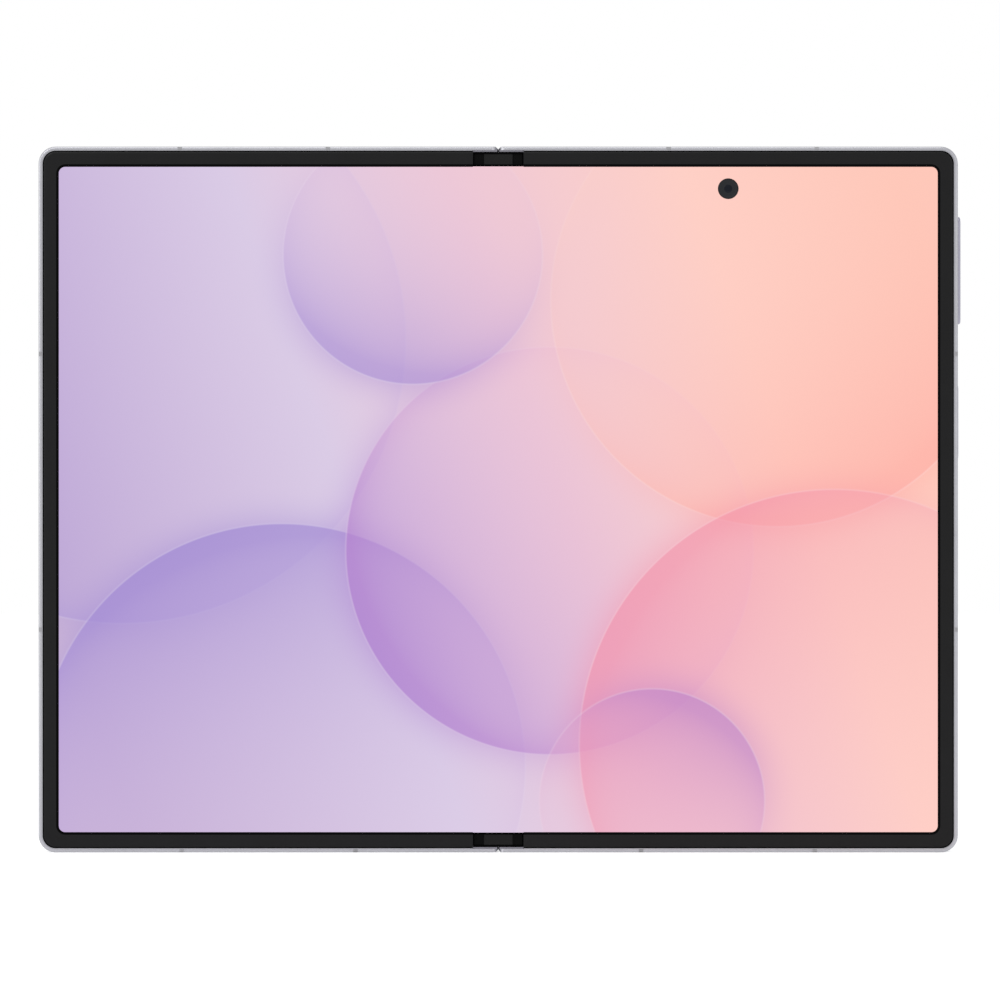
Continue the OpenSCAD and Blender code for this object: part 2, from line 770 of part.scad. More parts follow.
module upper_hinge_bracket() color("dimgray") upright() hinge_bracket();
module lower_hinge_bracket() color("dimgray") upright() upper_or_lower(false) hinge_bracket();

module gear_retainers() color("lightgray") upright() both_ends()
    translate([0, module_y, 0]) layer(bracket_top, bracket_top + retainer_t)
        outline(-gear_x[0] - 1.5, -groove_in + 0.1, gear_x[0] + 1.5, groove_in - 0.1, 0.3, 0.3);

module centre_plate() color("gainsboro") upright()
    layer(centre_plate_back, panel_back) difference() {
        outline(-centre_plate_half, spine_end + 4, centre_plate_half, body_h - spine_end - 4,
            0.4, 0.4);
        for (y = [20:14:body_h - 20]) translate([0, y]) circle(0.8);
    }

// solid gear shaft: toothed length and journals, along the hinge from y0 to y3
module gear_shaft(x, phase, y0, y1, y2, y3, r) {
    translate([x, 0, gear_d]) {
        along(y1, y2) gear_outline(gear_teeth, gear_pitch_r + gear_mod * tip_k,
            gear_pitch_r - gear_mod * root_k, phase, backlash);
        along(y0, y3) circle(r);
    }
}

module outer_gears(side) {
    both_ends() translate([0, module_y, 0]) mirror([0, side > 0 ? 0 : 1, 0])
        gear_shaft(side * gear_x[0], side > 0 ? 0 : gear_step / 2,
            -groove_out - 0.45, -groove_out + slip, web_in - slip, bracket_end - 1.1, journal_r);
}

module inner_gears(side) {
    both_ends() translate([0, module_y, 0])
        gear_shaft(side * gear_x[1], side > 0 ? gear_step / 2 : 0,
            -groove_in + 0.15, -web_in + slip, web_in - slip, groove_in - 0.15, 0.22);
}

module right_outer_gears() color("goldenrod") upright() outer_gears(1);
module right_inner_gears() color("goldenrod") upright() inner_gears(1);
module left_inner_gears() color("goldenrod") upright() inner_gears(-1);
module left_outer_gears() color("goldenrod") upright() outer_gears(-1);

// spring clips that grip the shafts of the long gears
module torque_clips() color("darkslategray") upright() both_ends() for (side = [1, -1])
    on_side(side) translate([gear_x[0], module_y, 0]) mirror([0, side > 0 ? 0 : 1, 0])
        for (i = [0:2]) along(web_out + 0.1 + i, web_out + 0.9 + i) difference() {
            union() {
                translate([0, gear_d]) circle(0.65);
                translate([-1, gear_d - 0.9]) square([1.6, 0.5]);
            }
            translate([0, gear_d]) circle(journal_r + 0.02);
            translate([-0.12, gear_d]) square([0.24, 1]);
        }

module bracket_screws() color("dimgray") upright() both_ends() for (s = [-1, 1])
    translate([0, module_y + s * bracket_screw_s, 0]) {
        translate([0, 0, axis_d - spine_r + slip]) cylinder(r = bracket_screw_r, h = spine_r - 0.7);
        translate([0, 0, bracket_top - bracket_head_t - slip])
            cylinder(r = bracket_head_r, h = bracket_head_t);
    }

// black caps at both ends of the spine, beside the screen: a plug in the spine cover,
// low sides over the cover's edges and a raised middle
module spine_end_caps() color([0.1, 0.1, 0.11]) upright() both_ends() {
    along(cap_y0, cap_y1) spine_section(spine_edge_r, spine_top + eps);
    along(spine_end, cap_y1) difference() {
        spine_section(spine_r, cap_wing_front);
        translate([-half_t, spine_top - half_t]) square([2 * half_t, half_t]);
    }
    block([-cap_mid, spine_end, spine_top], [cap_mid, cap_y1, cap_front]);
}

// flat cable between the halves, run in a low wave under the centre plate
module hinge_flex() color("chocolate") upright() {
    dip_half = 3.6;
    wave = [for (i = [-16:16]) let (x = i * flex_end / 16)
        [x, flex_d - (abs(x) > dip_half ? 0 : 0.7 * (1 + cos(180 * x / dip_half)))]];
    n = len(wave) - 1;
    along((body_h - flex_w) / 2, (body_h + flex_w) / 2)
        polygon(concat(wave, [for (i = [0:n]) wave[n - i] + [0, flex_t]]));
}

// ---------------------------------------------------------------- main half, outside

module inner_camera() color([0.1, 0.1, 0.12]) upright() translate([camera_x, camera_y, 0]) {
    translate([0, 0, plate_back - 1.6]) cylinder(r = 2.6, h = 1.58);
    translate([0, 0, plate_back - 0.1]) cylinder(r = camera_hole_r - 0.1, h = panel_front - plate_back);
}

// pane in the seat of a half's back
module back_pane() {
    pane_inset = back_lip + glass_gap;
    layer(0, glass_t)
        half_outline(glass_x0 + glass_gap, pane_inset, glass_corner, corner_r - pane_inset);
}

module right_back_glass() color("lavender") upright() difference() {
    back_pane();
    for (y = lens_y) translate([island_x, y, -cut]) cylinder(r = module_r + 0.1, h = 3);
    translate([island_x, island_y, -cut]) cylinder(r = flash_r + 0.1, h = 3);
}

module camera_island() color("lightgray") upright() mirror([0, 0, 1])
    difference() {
        translate([island_x, island_y, 0]) soft_stadium(island_len, island_w, island_rise, 0.5);
        for (y = lens_y) translate([island_x, y, -cut]) cylinder(r = module_r + 0.1, h = 4);
        translate([island_x, island_y, -cut]) cylinder(r = flash_r + 0.05, h = 4);
    }

module rear_lens_rings() color("slategray") upright() mirror([0, 0, 1]) for (y = lens_y)
    translate([island_x, y, island_rise]) rotate_extrude() difference() {
        translate([module_r, 0]) square([lens_ring_r - module_r, 0.6]);
        translate([lens_ring_r, 0.6]) rotate(45) square(0.4, center = true);
    }

module rear_lens_glasses() color([0.05, 0.05, 0.07]) upright() mirror([0, 0, 1]) for (y = lens_y)
    translate([island_x, y, island_rise + slip])
        rotate_extrude() button_section(module_r - slip, lens_glass_t, 0.12);

// barrel with a funnel down to the lens, on a square base
module rear_camera_modules() color("black") upright() mirror([0, 0, 1]) for (y = lens_y)
    translate([island_x, y, 0]) {
        base_back = slip - plate_back;
        barrel_r = module_r - slip;
        rotate_extrude() polygon([[0, base_back], [barrel_r, base_back], [barrel_r, island_rise],
            [barrel_r - 0.5, island_rise], [barrel_r - 1, island_rise - 0.4],
            [barrel_r - 1.6, island_rise - 0.4], [lens_pupil_r + 0.3, island_rise - 1.1],
            [lens_pupil_r, island_rise - 1.1], [lens_pupil_r, island_rise - 1.3],
            [0, island_rise - 1.3]]);
        block([-module_block, -module_block, base_back],
              [module_block, module_block, -glass_t - 0.5]);
    }

module flash_lens() color("lightyellow") upright() mirror([0, 0, 1])
    translate([island_x, island_y, -glass_t - 0.3])
        rotate_extrude() button_section(flash_r - film_gap, glass_t + 0.4 + island_rise, 0.1);

// ---------------------------------------------------------------- boards and cells

// pouch cell with rounded sides and, at its upper end, the thinner sealed terrace
module pouch_cell(w, y0, y1) {
    along(y0, y1 - cell_terrace)
        outline(cell_x0, cell_back, cell_x0 + w, plate_back, cell_r, cell_r);
    block([cell_x0 + cell_r, y1 - cell_terrace - eps, plate_back - cell_terrace_t],
          [cell_x0 + w - cell_r, y1, plate_back]);
}

module right_battery() color("dimgray") upright() pouch_cell(right_cell_w, cell_y0, cell_y1);

module left_battery() color("dimgray") upright() on_side(-1)
    pouch_cell(left_cell_w, left_cell_y0, left_cell_y1);

// screws at the four corners of a board that starts at height y0
function board_spots(y0) =
    [[board_x0 + 2, y0 + 3], [48, y0 + 3], [board_x0 + 2, board_y1 - 3], [33, board_y1 - 3]];

module board_outline() {
    outline(board_x0, board_y0, island_x - 6.5, board_y1, 0.6, 0.6);
}

module main_board() color("darkgreen") upright() layer(board_back, plate_back) difference() {
    board_outline();
    for (spot = board_spots(board_y0)) translate(spot) circle(board_screw_r + film_gap);
    translate([camera_x, camera_y]) circle(2.8);
}

module board_shields() color("silver") upright() {
    for (can = cans) translate([board_x0 + can[0], board_y0 + can[1], 0])
        layer(board_back - can_t, board_back) outline(0, 0, can[2], can[3], 0.5, 0.5);
}

module board_screw_set(y0) {
    for (spot = board_spots(y0)) translate([spot[0], spot[1], 0]) {
        translate([0, 0, board_back - board_head_t]) cylinder(r = board_head_r, h = board_head_t);
        translate([0, 0, board_back - slip]) cylinder(r = board_screw_r, h = board_t + slip);
    }
}

module right_board_screws() color("gray") upright() board_screw_set(board_y0);
module left_board_screws() color("gray") upright() on_side(-1) board_screw_set(left_board_y0);

module left_board() color("darkgreen") upright() on_side(-1)
    layer(board_back, plate_back) difference() {
        outline(board_x0, left_board_y0, half_w - 12, board_y1, 0.6, 0.6);
        for (spot = board_spots(left_board_y0)) translate(spot)
            circle(board_screw_r + film_gap);
    }

module charging_coil() color("peru") upright()
    translate([cell_x0 + right_cell_w / 2, (cell_y0 + cell_y1) / 2, glass_t + film_gap])
        linear_extrude(coil_t) difference() {
            circle(coil_r);
            circle(coil_hole_r);
        }

module charging_port() color("silver") upright()
    translate([port_x, shell_y0 + slip, port_d]) rotate([-90, 0, 0]) {
        difference() {
            linear_extrude(port_depth) rotate(90)
                stadium(port_w + 2 * port_wall, port_h + 2 * port_wall);
            translate([0, 0, -cut]) linear_extrude(port_depth) rotate(90) stadium(port_w, port_h);
        }
        block([-tongue_w / 2, -tongue_t / 2, tongue_in], [tongue_w / 2, tongue_t / 2, port_depth - 0.4]);
    }

module sub_board() color("darkgreen") upright() layer(board_back, plate_back)
    outline(board_x0, port_depth + 2, port_x + 10, sub_board_y1, 0.6, 0.6);

module lower_speaker() color([0.2, 0.2, 0.22]) upright()
    layer(glass_t + 0.3, plate_back)
        outline(speaker_x[0] - 1, rim_t + 0.4, speaker_x[1] - 0.4, sub_board_y1, 0.8, 0.8);

module upper_speaker() color([0.2, 0.2, 0.22]) upright() on_side(-1)
    layer(glass_t + 1.4, plate_back)
        outline(half_w - 11, board_y0 + 24, half_w - 3, board_y1, 0.8, 0.8);

module vibration_motor() color("silver") upright()
    layer(glass_t + 0.4, board_back)
        outline(block_x + 2, port_depth + 3, block_x + 14, sub_board_y1 - 2, 1, 1);

module right_magnets() color("gray") upright() for (y = right_magnets_y)
    block([inner_x - 1.5, y, 0.9], [inner_x - 0.02, y + magnet_len, 3.1]);

module left_magnets() color("gray") upright() on_side(-1) for (y = left_magnets_y)
    block([inner_x - 1.5, y, 0.9], [inner_x - 0.02, y + magnet_len, 3.1]);

// ---------------------------------------------------------------- keys

// key: cap through the slot, flange behind the rim
module key(y, len, rise, room) {
    flange_z = -rim_t - room - key_flange_t;
    translate([half_w, y, key_d]) rotate([0, 90, 0]) {
        translate([0, 0, -rim_t - room])
            soft_stadium(len, key_w, rim_t + room + rise, min(0.35, rise * 0.9));
        block([-key_w / 2, -len / 2 - key_flange, flange_z],
              [key_w / 2, len / 2 + key_flange, flange_z + key_flange_t]);
    }
}

module volume_key() color("thistle") upright()
    key(volume_y, volume_len, volume_rise, volume_tilt_room);

// the power key has a shallow dish for the finger
module power_key() color("thistle") upright() difference() {
    key(power_y, power_len, power_rise, power_room);
    translate([half_w + power_rise - dish, power_y, key_d]) rotate([0, 90, 0])
        linear_extrude(cut) stadium(power_len - 1.2, key_w - 0.6);
}

// dome switches on their flex strip, a little behind the keys
module key_switches() color("goldenrod") upright() {
    strip_x = inner_x - 1.75;
    block([strip_x - 0.2, power_y - power_len / 2, key_d - 0.9],
          [strip_x, volume_y + volume_len / 2, plate_back]);
    for (y = [volume_y - volume_len * 0.35, volume_y + volume_len * 0.35])
        translate([strip_x - eps, y, key_d]) rotate([0, 90, 0]) cylinder(r = 0.8, h = 0.75);
    translate([strip_x - eps, power_y, key_d]) rotate([0, 90, 0]) cylinder(r = 0.8, h = 0.95);
}

// ---------------------------------------------------------------- cover half, outside

module cover_glass() color([0.04, 0.04, 0.05]) upright() on_side(-1) difference() {
    back_pane();
    translate([camera_x, body_h - back_lip - glass_gap - slot_drop, -cut])
        linear_extrude(3 * cut) rotate(90) stadium(slot_len, slot_w);
}

module cover_display_panel() color([0.08, 0.08, 0.1]) upright() on_side(-1) difference() {
    layer(glass_t + film_gap, glass_t + 0.4)
        outline(pocket_x + 1.2, cover_inset, half_w - cover_inset, body_h - cover_inset, 1, 1);
    translate([camera_x, body_h - camera_drop, 0]) cylinder(r = cover_camera_r + 0.1, h = 3);
}

module cover_camera() color("black") upright() on_side(-1)
    translate([camera_x, body_h - camera_drop, glass_t + film_gap])
        cylinder(r = cover_camera_r, h = plate_back - glass_t - 0.9);

module card_socket() color("silver") upright() on_side(-1)
    translate([half_w - rim_t - 0.1 - tray_depth, tray_height, tray_d]) difference() {
        block([0, -tray_w / 2 - socket_wall, -2 * socket_wall],
              [tray_depth - 0.4, tray_w / 2 + socket_wall, plate_back - tray_d]);
        block([0.3, -tray_w / 2 - slip, -tray_t / 2 - slip],
              [tray_depth + cut, tray_w / 2 + slip, tray_t / 2 + slip]);
    }

module card_tray() color("silver") upright() on_side(-1) {
    translate([half_w - rim_t, tray_height, tray_d]) rotate([0, 90, 0])
        linear_extrude(rim_t) difference() {
            stadium(tray_door, door_w);
            translate([0, tray_door / 2 - eject_in]) circle(eject_r);
        }
    difference() {
        translate([half_w - rim_t, tray_height, tray_d])
            block([0.3 - tray_depth, -tray_w / 2, -tray_t / 2], [eps, tray_w / 2, tray_t / 2]);
        translate([half_w - rim_t - card_len - 1.8, tray_height - card_w / 2, tray_d - cut])
            cube([card_len, card_w, 2 * cut]);
    }
}

// ---------------------------------------------------------------- output

right_frame();
right_antenna_bands();
right_bezel();
display_right_panel();
right_wing_plate();
right_upper_rail();
right_lower_rail();
right_rail_screws();
inner_camera();
right_back_glass();
camera_island();
rear_lens_rings();
rear_lens_glasses();
rear_camera_modules();
flash_lens();
main_board();
board_shields();
right_battery();
charging_coil();
charging_port();
sub_board();
lower_speaker();
vibration_motor();
right_magnets();
right_board_screws();
key_switches();
volume_key();
power_key();
left_frame();
left_antenna_bands();
left_bezel();
display_left_panel();
left_wing_plate();
left_upper_rail();
left_lower_rail();
left_rail_screws();
cover_glass();
cover_display_panel();
cover_camera();
left_battery();
left_board();
upper_speaker();
left_magnets();
left_board_screws();
card_socket();
card_tray();
spine_cover();
upper_hinge_bracket();
lower_hinge_bracket();
gear_retainers();
centre_plate();
spine_end_caps();
torque_clips();
bracket_screws();
hinge_flex();
display_fold_zone();
right_outer_gears();
right_inner_gears();
left_inner_gears();
left_outer_gears();
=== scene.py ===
"""Dresses the folding phone: finishes, the lit screen, lenses and contacts, camera and studio."""

import json
import math

import bmesh
import bpy
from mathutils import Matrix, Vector

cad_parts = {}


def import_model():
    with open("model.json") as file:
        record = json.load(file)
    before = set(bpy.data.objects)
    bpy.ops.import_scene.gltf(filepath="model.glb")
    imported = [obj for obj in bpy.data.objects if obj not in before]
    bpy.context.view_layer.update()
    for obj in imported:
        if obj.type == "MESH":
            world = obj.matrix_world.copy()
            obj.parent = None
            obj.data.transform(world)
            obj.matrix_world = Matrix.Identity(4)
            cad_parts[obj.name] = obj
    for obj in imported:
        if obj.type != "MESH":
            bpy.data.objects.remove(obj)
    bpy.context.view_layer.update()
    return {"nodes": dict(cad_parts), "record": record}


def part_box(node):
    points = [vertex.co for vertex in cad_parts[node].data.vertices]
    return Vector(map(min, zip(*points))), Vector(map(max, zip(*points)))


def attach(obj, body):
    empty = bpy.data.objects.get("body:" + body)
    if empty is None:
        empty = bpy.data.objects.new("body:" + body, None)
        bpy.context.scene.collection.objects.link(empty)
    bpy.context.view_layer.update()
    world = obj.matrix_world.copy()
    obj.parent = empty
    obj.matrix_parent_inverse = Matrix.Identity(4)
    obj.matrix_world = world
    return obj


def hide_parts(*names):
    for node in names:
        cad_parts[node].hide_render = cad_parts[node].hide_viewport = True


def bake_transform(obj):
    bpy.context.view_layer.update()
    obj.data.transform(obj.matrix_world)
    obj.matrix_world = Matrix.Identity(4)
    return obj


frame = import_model()

MM = 0.001
FRONT = Vector((0, -1, 0))                  # the way the inner screen faces
BACK = Vector((0, 1, 0))

# ------------------------------------------------------------------ sizes read from the frame

body_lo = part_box("left_frame")[0]
body_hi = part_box("right_frame")[1]
fold_lo, fold_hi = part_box("display_fold_zone")
right_panel_lo, right_panel_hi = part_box("display_right_panel")
left_panel_lo, left_panel_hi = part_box("display_left_panel")
screen_front = fold_lo.y
screen_back = fold_hi.y
screen_width = right_panel_hi.x - left_panel_lo.x
screen_height = right_panel_hi.z - right_panel_lo.z
screen_half_z = (fold_hi.z - fold_lo.z) / 2
screen_half_x = body_hi.x - (fold_lo.z - body_lo.z)
body_middle_z = (body_lo.z + body_hi.z) / 2
body_half_z = (body_hi.z - body_lo.z) / 2
bezel_x0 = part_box("right_bezel")[0].x

# ------------------------------------------------------------------ sizes of what is added here

PANEL_CORNER = 0.8 * MM                     # corner of the panel, hidden under the bezel
BEND_END = 4.4 * MM                         # the screen is straight past this distance
BEND_COLUMNS = 28
CAMERA_HOLE_R = 1.82 * MM
ARC_STEPS = 10
SAME_POINT = 1e-7                           # metres
GASKET_SHADE_WIDTH = 0.36 * MM                    # black strip of the bezel beside the screen, its near-black partly painted shade of the bezel's edge
GASKET_SHADE_LAP = 0.07 * MM                      # how far it laps over the screen
LIP_TRIM = 0.11 * MM                        # bright edge of the rim round the bezel
TRIM_DEPTH = 0.45 * MM                      # how far that edge goes back
BODY_CORNER = 3.0 * MM                      # outer corners, seen from the front
SCREEN_CORNER = 1.2 * MM
EDGE_ROLL = (0.75 * MM, 0.36 * MM)          # width and depth of the bezel's rounded edge
ROLL_STEPS = 7
FINE_STEP = 0.02 * MM                       # between the faces of trim, bezel and gasket
FINE_EDGE = 0.03 * MM                       # slant of their edges
PANEL_OVERLAP = 0.93 * MM                   # the bezel's lip over the screen panel
CAP_MIDDLE = 2.5 * MM                       # half the raised middle of an end cap
CAP_SIDE = 4.24 * MM                        # half the width of an end cap
CAP_STEP = 0.45 * MM                        # its sides lie this far behind the middle


def middle(node):
    """Middle of a CAD node's box."""
    low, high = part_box(node)
    return (low + high) / 2


# ------------------------------------------------------------------ node helpers

def new_material(name):
    """A material with only a Principled shader; returns it with its node tree and that shader."""
    material = bpy.data.materials.new(name)
    material.use_nodes = True
    tree = material.node_tree
    return material, tree, tree.nodes["Principled BSDF"]


def add(tree, kind, **properties):
    """A node with some of its properties set."""
    node = tree.nodes.new(kind)
    for key, value in properties.items():
        setattr(node, key, value)
    return node


def math_node(tree, operation, first, second=0.5, third=None, clamp=False):
    """One Math node; each operand is a number or a socket."""
    node = add(tree, "ShaderNodeMath", operation=operation, use_clamp=clamp)
    for socket, value in zip(node.inputs, (first, second, third)):
        if value is None:
            continue
        if isinstance(value, (int, float)):
            socket.default_value = value
        else:
            tree.links.new(value, socket)
    return node.outputs[0]


def vector_node(tree, operation, *operands):
    """One Vector Math node; each operand is a vector or a socket."""
    node = add(tree, "ShaderNodeVectorMath", operation=operation)
    for socket, value in zip(node.inputs, operands):
        if isinstance(value, bpy.types.NodeSocket):
            tree.links.new(value, socket)
        else:
            socket.default_value = value
    return node


def mixed(tree, factor, first, second):
    """Mix of two colours by a socket; the second one is a socket or a colour."""
    node = add(tree, "ShaderNodeMix", data_type="RGBA")
    tree.links.new(factor, node.inputs["Factor"])
    tree.links.new(first, node.inputs["A"])
    if isinstance(second, tuple):
        node.inputs["B"].default_value = (*second, 1)
    else:
        tree.links.new(second, node.inputs["B"])
    return node.outputs["Result"]


def ramp(tree, factor, low, high, at=(0.0, 1.0)):
    """A two-colour ramp driven by a socket."""
    node = add(tree, "ShaderNodeValToRGB")
    for stop, colour, position in zip(node.color_ramp.elements, (low, high), at):
        stop.color = (*colour, 1)
        stop.position = position
    tree.links.new(factor, node.inputs["Fac"])
    return node.outputs["Color"]


def scaled(tree, factor, low, high):
    """Maps a 0..1 socket to a range."""
    node = add(tree, "ShaderNodeMapRange")
    node.inputs["To Min"].default_value = low
    node.inputs["To Max"].default_value = high
    tree.links.new(factor, node.inputs["Value"])
    return node.outputs["Result"]


def place(tree, stretch=(1, 1, 1)):
    """Coordinates of the piece itself in millimetres, stretched for brushed or drawn finishes."""
    coordinates = add(tree, "ShaderNodeTexCoord")
    mapping = add(tree, "ShaderNodeMapping")
    mapping.inputs["Scale"].default_value = [1 / MM * s for s in stretch]
    tree.links.new(coordinates.outputs["Object"], mapping.inputs["Vector"])
    return mapping.outputs["Vector"]


def noise(tree, vector, scale, detail=3.0, roughness=0.5):
    """Noise from 0 to 1, with its scale in waves a millimetre."""
    node = add(tree, "ShaderNodeTexNoise")
    node.inputs["Scale"].default_value = scale
    node.inputs["Detail"].default_value = detail
    node.inputs["Roughness"].default_value = roughness
    tree.links.new(vector, node.inputs["Vector"])
    return node.outputs["Fac"]


def bump(tree, shader, height, depth_mm):
    """Fine relief that a 0..1 socket gives."""
    node = add(tree, "ShaderNodeBump")
    node.inputs["Strength"].default_value = 1.0
    node.inputs["Distance"].default_value = depth_mm * MM
    tree.links.new(height, node.inputs["Height"])
    tree.links.new(node.outputs["Normal"], shader.inputs["Normal"])


def shade(colour, factor):
    """A colour made darker or lighter."""
    return tuple(min(1.0, c * factor) for c in colour)


# ------------------------------------------------------------------ finishes

def toned(tree, shader, factor, dark, pale):
    """Colours the shader between two tones, most of it between the noise's 0.3 and 0.7."""
    tree.links.new(ramp(tree, factor, dark, pale, (0.3, 0.7)), shader.inputs["Base Color"])


def metal(name, colour, rough, stretch=(1, 1, 1), grain=4.0, spread=0.06, depth=0.004):
    """Satin, blasted or brushed metal: fine grain in roughness and height, faint tone changes."""
    material, tree, shader = new_material(name)
    shader.inputs["Metallic"].default_value = 1.0
    vector = place(tree, stretch)
    fine = noise(tree, vector, grain)
    broad = noise(tree, vector, 0.12, 2.0)
    both = math_node(tree, "ADD", math_node(tree, "MULTIPLY", fine, 0.6),
                     math_node(tree, "MULTIPLY", broad, 0.4))
    toned(tree, shader, both, shade(colour, 1 - spread), shade(colour, 1 + spread))
    tree.links.new(scaled(tree, both, rough - 0.05, rough + 0.05), shader.inputs["Roughness"])
    bump(tree, shader, fine, depth)
    return material


def plastic(name, colour, rough, grain=6.0, spread=0.12, depth=0.006, specular=0.5):
    """Moulded or painted surface with a fine texture."""
    material, tree, shader = new_material(name)
    shader.inputs["Specular IOR Level"].default_value = specular
    vector = place(tree)
    fine = noise(tree, vector, grain)
    broad = noise(tree, vector, 0.2, 2.0)
    toned(tree, shader, broad, shade(colour, 1 - spread), shade(colour, 1 + spread))
    tree.links.new(scaled(tree, fine, rough - 0.06, rough + 0.06), shader.inputs["Roughness"])
    bump(tree, shader, fine, depth)
    return material


def frosted_back():
    """Matt etched back glass: pearly lavender silver, with a colour drift and a soft clear coat."""
    material, tree, shader = new_material("back_glass")
    shader.inputs["Metallic"].default_value = 0.25
    shader.inputs["Coat Weight"].default_value = 0.35
    shader.inputs["Coat Roughness"].default_value = 0.28
    vector = place(tree)
    sparkle = noise(tree, vector, 9.0, 2.0)
    drift = noise(tree, vector, 0.012, 1.0)
    tones = ramp(tree, drift, (0.50, 0.48, 0.60), (0.62, 0.60, 0.68), (0.35, 0.65))
    tree.links.new(tones, shader.inputs["Base Color"])
    tree.links.new(scaled(tree, sparkle, 0.34, 0.46), shader.inputs["Roughness"])
    bump(tree, shader, sparkle, 0.003)
    return material


def parts_of(tree):
    """X, Y and Z of the piece's own coordinates."""
    coordinates = add(tree, "ShaderNodeTexCoord")
    split = add(tree, "ShaderNodeSeparateXYZ")
    tree.links.new(coordinates.outputs["Object"], split.inputs["Vector"])
    return split.outputs["X"], split.outputs["Y"], split.outputs["Z"]


def step(tree, value, start, end):
    """0 before one value, 1 past another, linear between."""
    rise = math_node(tree, "SUBTRACT", value, start)
    return math_node(tree, "DIVIDE", rise, end - start, clamp=True)


def frame_finish():
    """Satin frame metal, with the step beside the hinge darkened as painted shade and its pocket
    blackened.
    """
    shade_at = (0.60 * MM, 0.68 * MM)       # painted shade of the step fades in here, from the frame's upper or lower end
    lining_at = (0.94 * MM, 0.98 * MM)
    hinge_margin = 0.08 * MM                # past the bezel's inner end
    front_depth = -0.4 * MM                 # the back of the frame stays bright
    material = metal("frame_metal", (0.42, 0.42, 0.45), **SATIN)
    tree = material.node_tree
    shader = tree.nodes["Principled BSDF"]
    x, y, z = parts_of(tree)
    from_middle = math_node(tree, "ABSOLUTE", math_node(tree, "SUBTRACT", z, body_middle_z))
    from_end = math_node(tree, "SUBTRACT", body_half_z, from_middle)
    at_hinge = math_node(tree, "LESS_THAN", math_node(tree, "ABSOLUTE", x), bezel_x0 + hinge_margin)
    near = math_node(tree, "MULTIPLY", at_hinge, math_node(tree, "LESS_THAN", y, front_depth))
    # painted shade: the step beside the hinge is turned to a darker grey in place of the shade of
    # its recess
    painted_shade = math_node(tree, "MULTIPLY", near, step(tree, from_end, *shade_at))
    lining = math_node(tree, "MULTIPLY", near, step(tree, from_end, *lining_at))
    colour = shader.inputs["Base Color"].links[0].from_socket
    colour = mixed(tree, painted_shade, colour, (0.21, 0.205, 0.235))
    colour = mixed(tree, lining, colour, (0.004, 0.004, 0.005))
    tree.links.new(colour, shader.inputs["Base Color"])
    tree.links.new(math_node(tree, "SUBTRACT", 1.0, lining), shader.inputs["Metallic"])
    shader.inputs["Specular IOR Level"].default_value = 0.05
    return material


def black_glass(name, tint, rough):
    """Polished dark cover glass with the faintest smear and dust in its gloss."""
    material, tree, shader = new_material(name)
    shader.inputs["Specular IOR Level"].default_value = 0.12
    shader.inputs["Coat Weight"].default_value = 0.5
    shader.inputs["Coat Roughness"].default_value = 0.02
    vector = place(tree)
    smear = noise(tree, vector, 0.05, 4.0, 0.6)
    toned(tree, shader, smear, shade(tint, 0.7), shade(tint, 1.3))
    tree.links.new(scaled(tree, smear, rough, rough + 0.05), shader.inputs["Roughness"])
    return material


def rings(tree, centre, pitch_mm):
    """Concentric waves about a fixed point of the piece, from 0 to 1."""
    coordinates = add(tree, "ShaderNodeTexCoord")
    offset = vector_node(tree, "SUBTRACT", coordinates.outputs["Object"], centre)
    distance = vector_node(tree, "LENGTH", offset.outputs["Vector"]).outputs["Value"]
    turns = math_node(tree, "MULTIPLY", distance, 2 * math.pi / (pitch_mm * MM))
    return math_node(tree, "MULTIPLY_ADD", math_node(tree, "SINE", turns), 0.5, 0.5)


def clear_glass(name, tint, index=1.5, rings_about=None):
    """Clear lens glass with a tinted coating, moulded in rings where it is a flash lens."""
    material, tree, shader = new_material(name)
    shader.inputs["Transmission Weight"].default_value = 1.0
    shader.inputs["IOR"].default_value = index
    vector = place(tree)
    smear = noise(tree, vector, 0.3, 3.0)
    toned(tree, shader, smear, shade(tint, 0.94), tint)
    tree.links.new(scaled(tree, smear, 0.0, 0.03), shader.inputs["Roughness"])
    if rings_about is not None:
        bump(tree, shader, rings(tree, rings_about, 0.3), 0.06)
    return material


def circuit_board():
    """Dark green solder mask with traces, copper pads and a fibre weave."""
    material, tree, shader = new_material("board")
    vector = place(tree)
    brick = add(tree, "ShaderNodeTexBrick")
    brick.inputs["Scale"].default_value = 0.5
    brick.inputs["Mortar Size"].default_value = 0.035
    brick.inputs["Color1"].default_value = (0.004, 0.045, 0.022, 1)
    brick.inputs["Color2"].default_value = (0.006, 0.06, 0.03, 1)
    brick.inputs["Mortar"].default_value = (0.02, 0.13, 0.06, 1)
    upright = add(tree, "ShaderNodeMapping")
    upright.inputs["Rotation"].default_value = (math.radians(90), 0, 0)
    tree.links.new(vector, upright.inputs["Vector"])
    tree.links.new(upright.outputs["Vector"], brick.inputs["Vector"])
    tree.links.new(brick.outputs["Color"], shader.inputs["Base Color"])
    weave = noise(tree, vector, 5.0)
    tree.links.new(scaled(tree, weave, 0.25, 0.42), shader.inputs["Roughness"])
    bump(tree, shader, brick.outputs["Fac"], 0.01)
    return material


def wound_copper(centre):
    """Flat litz winding: rings of enamelled copper about the coil's own centre."""
    material, tree, shader = new_material("coil_copper")
    shader.inputs["Metallic"].default_value = 0.9
    unit = rings(tree, centre, 0.8)
    tones = ramp(tree, unit, (0.20, 0.06, 0.02), (0.75, 0.32, 0.14))
    tree.links.new(tones, shader.inputs["Base Color"])
    tree.links.new(scaled(tree, unit, 0.5, 0.28), shader.inputs["Roughness"])
    bump(tree, shader, unit, 0.08)
    return material


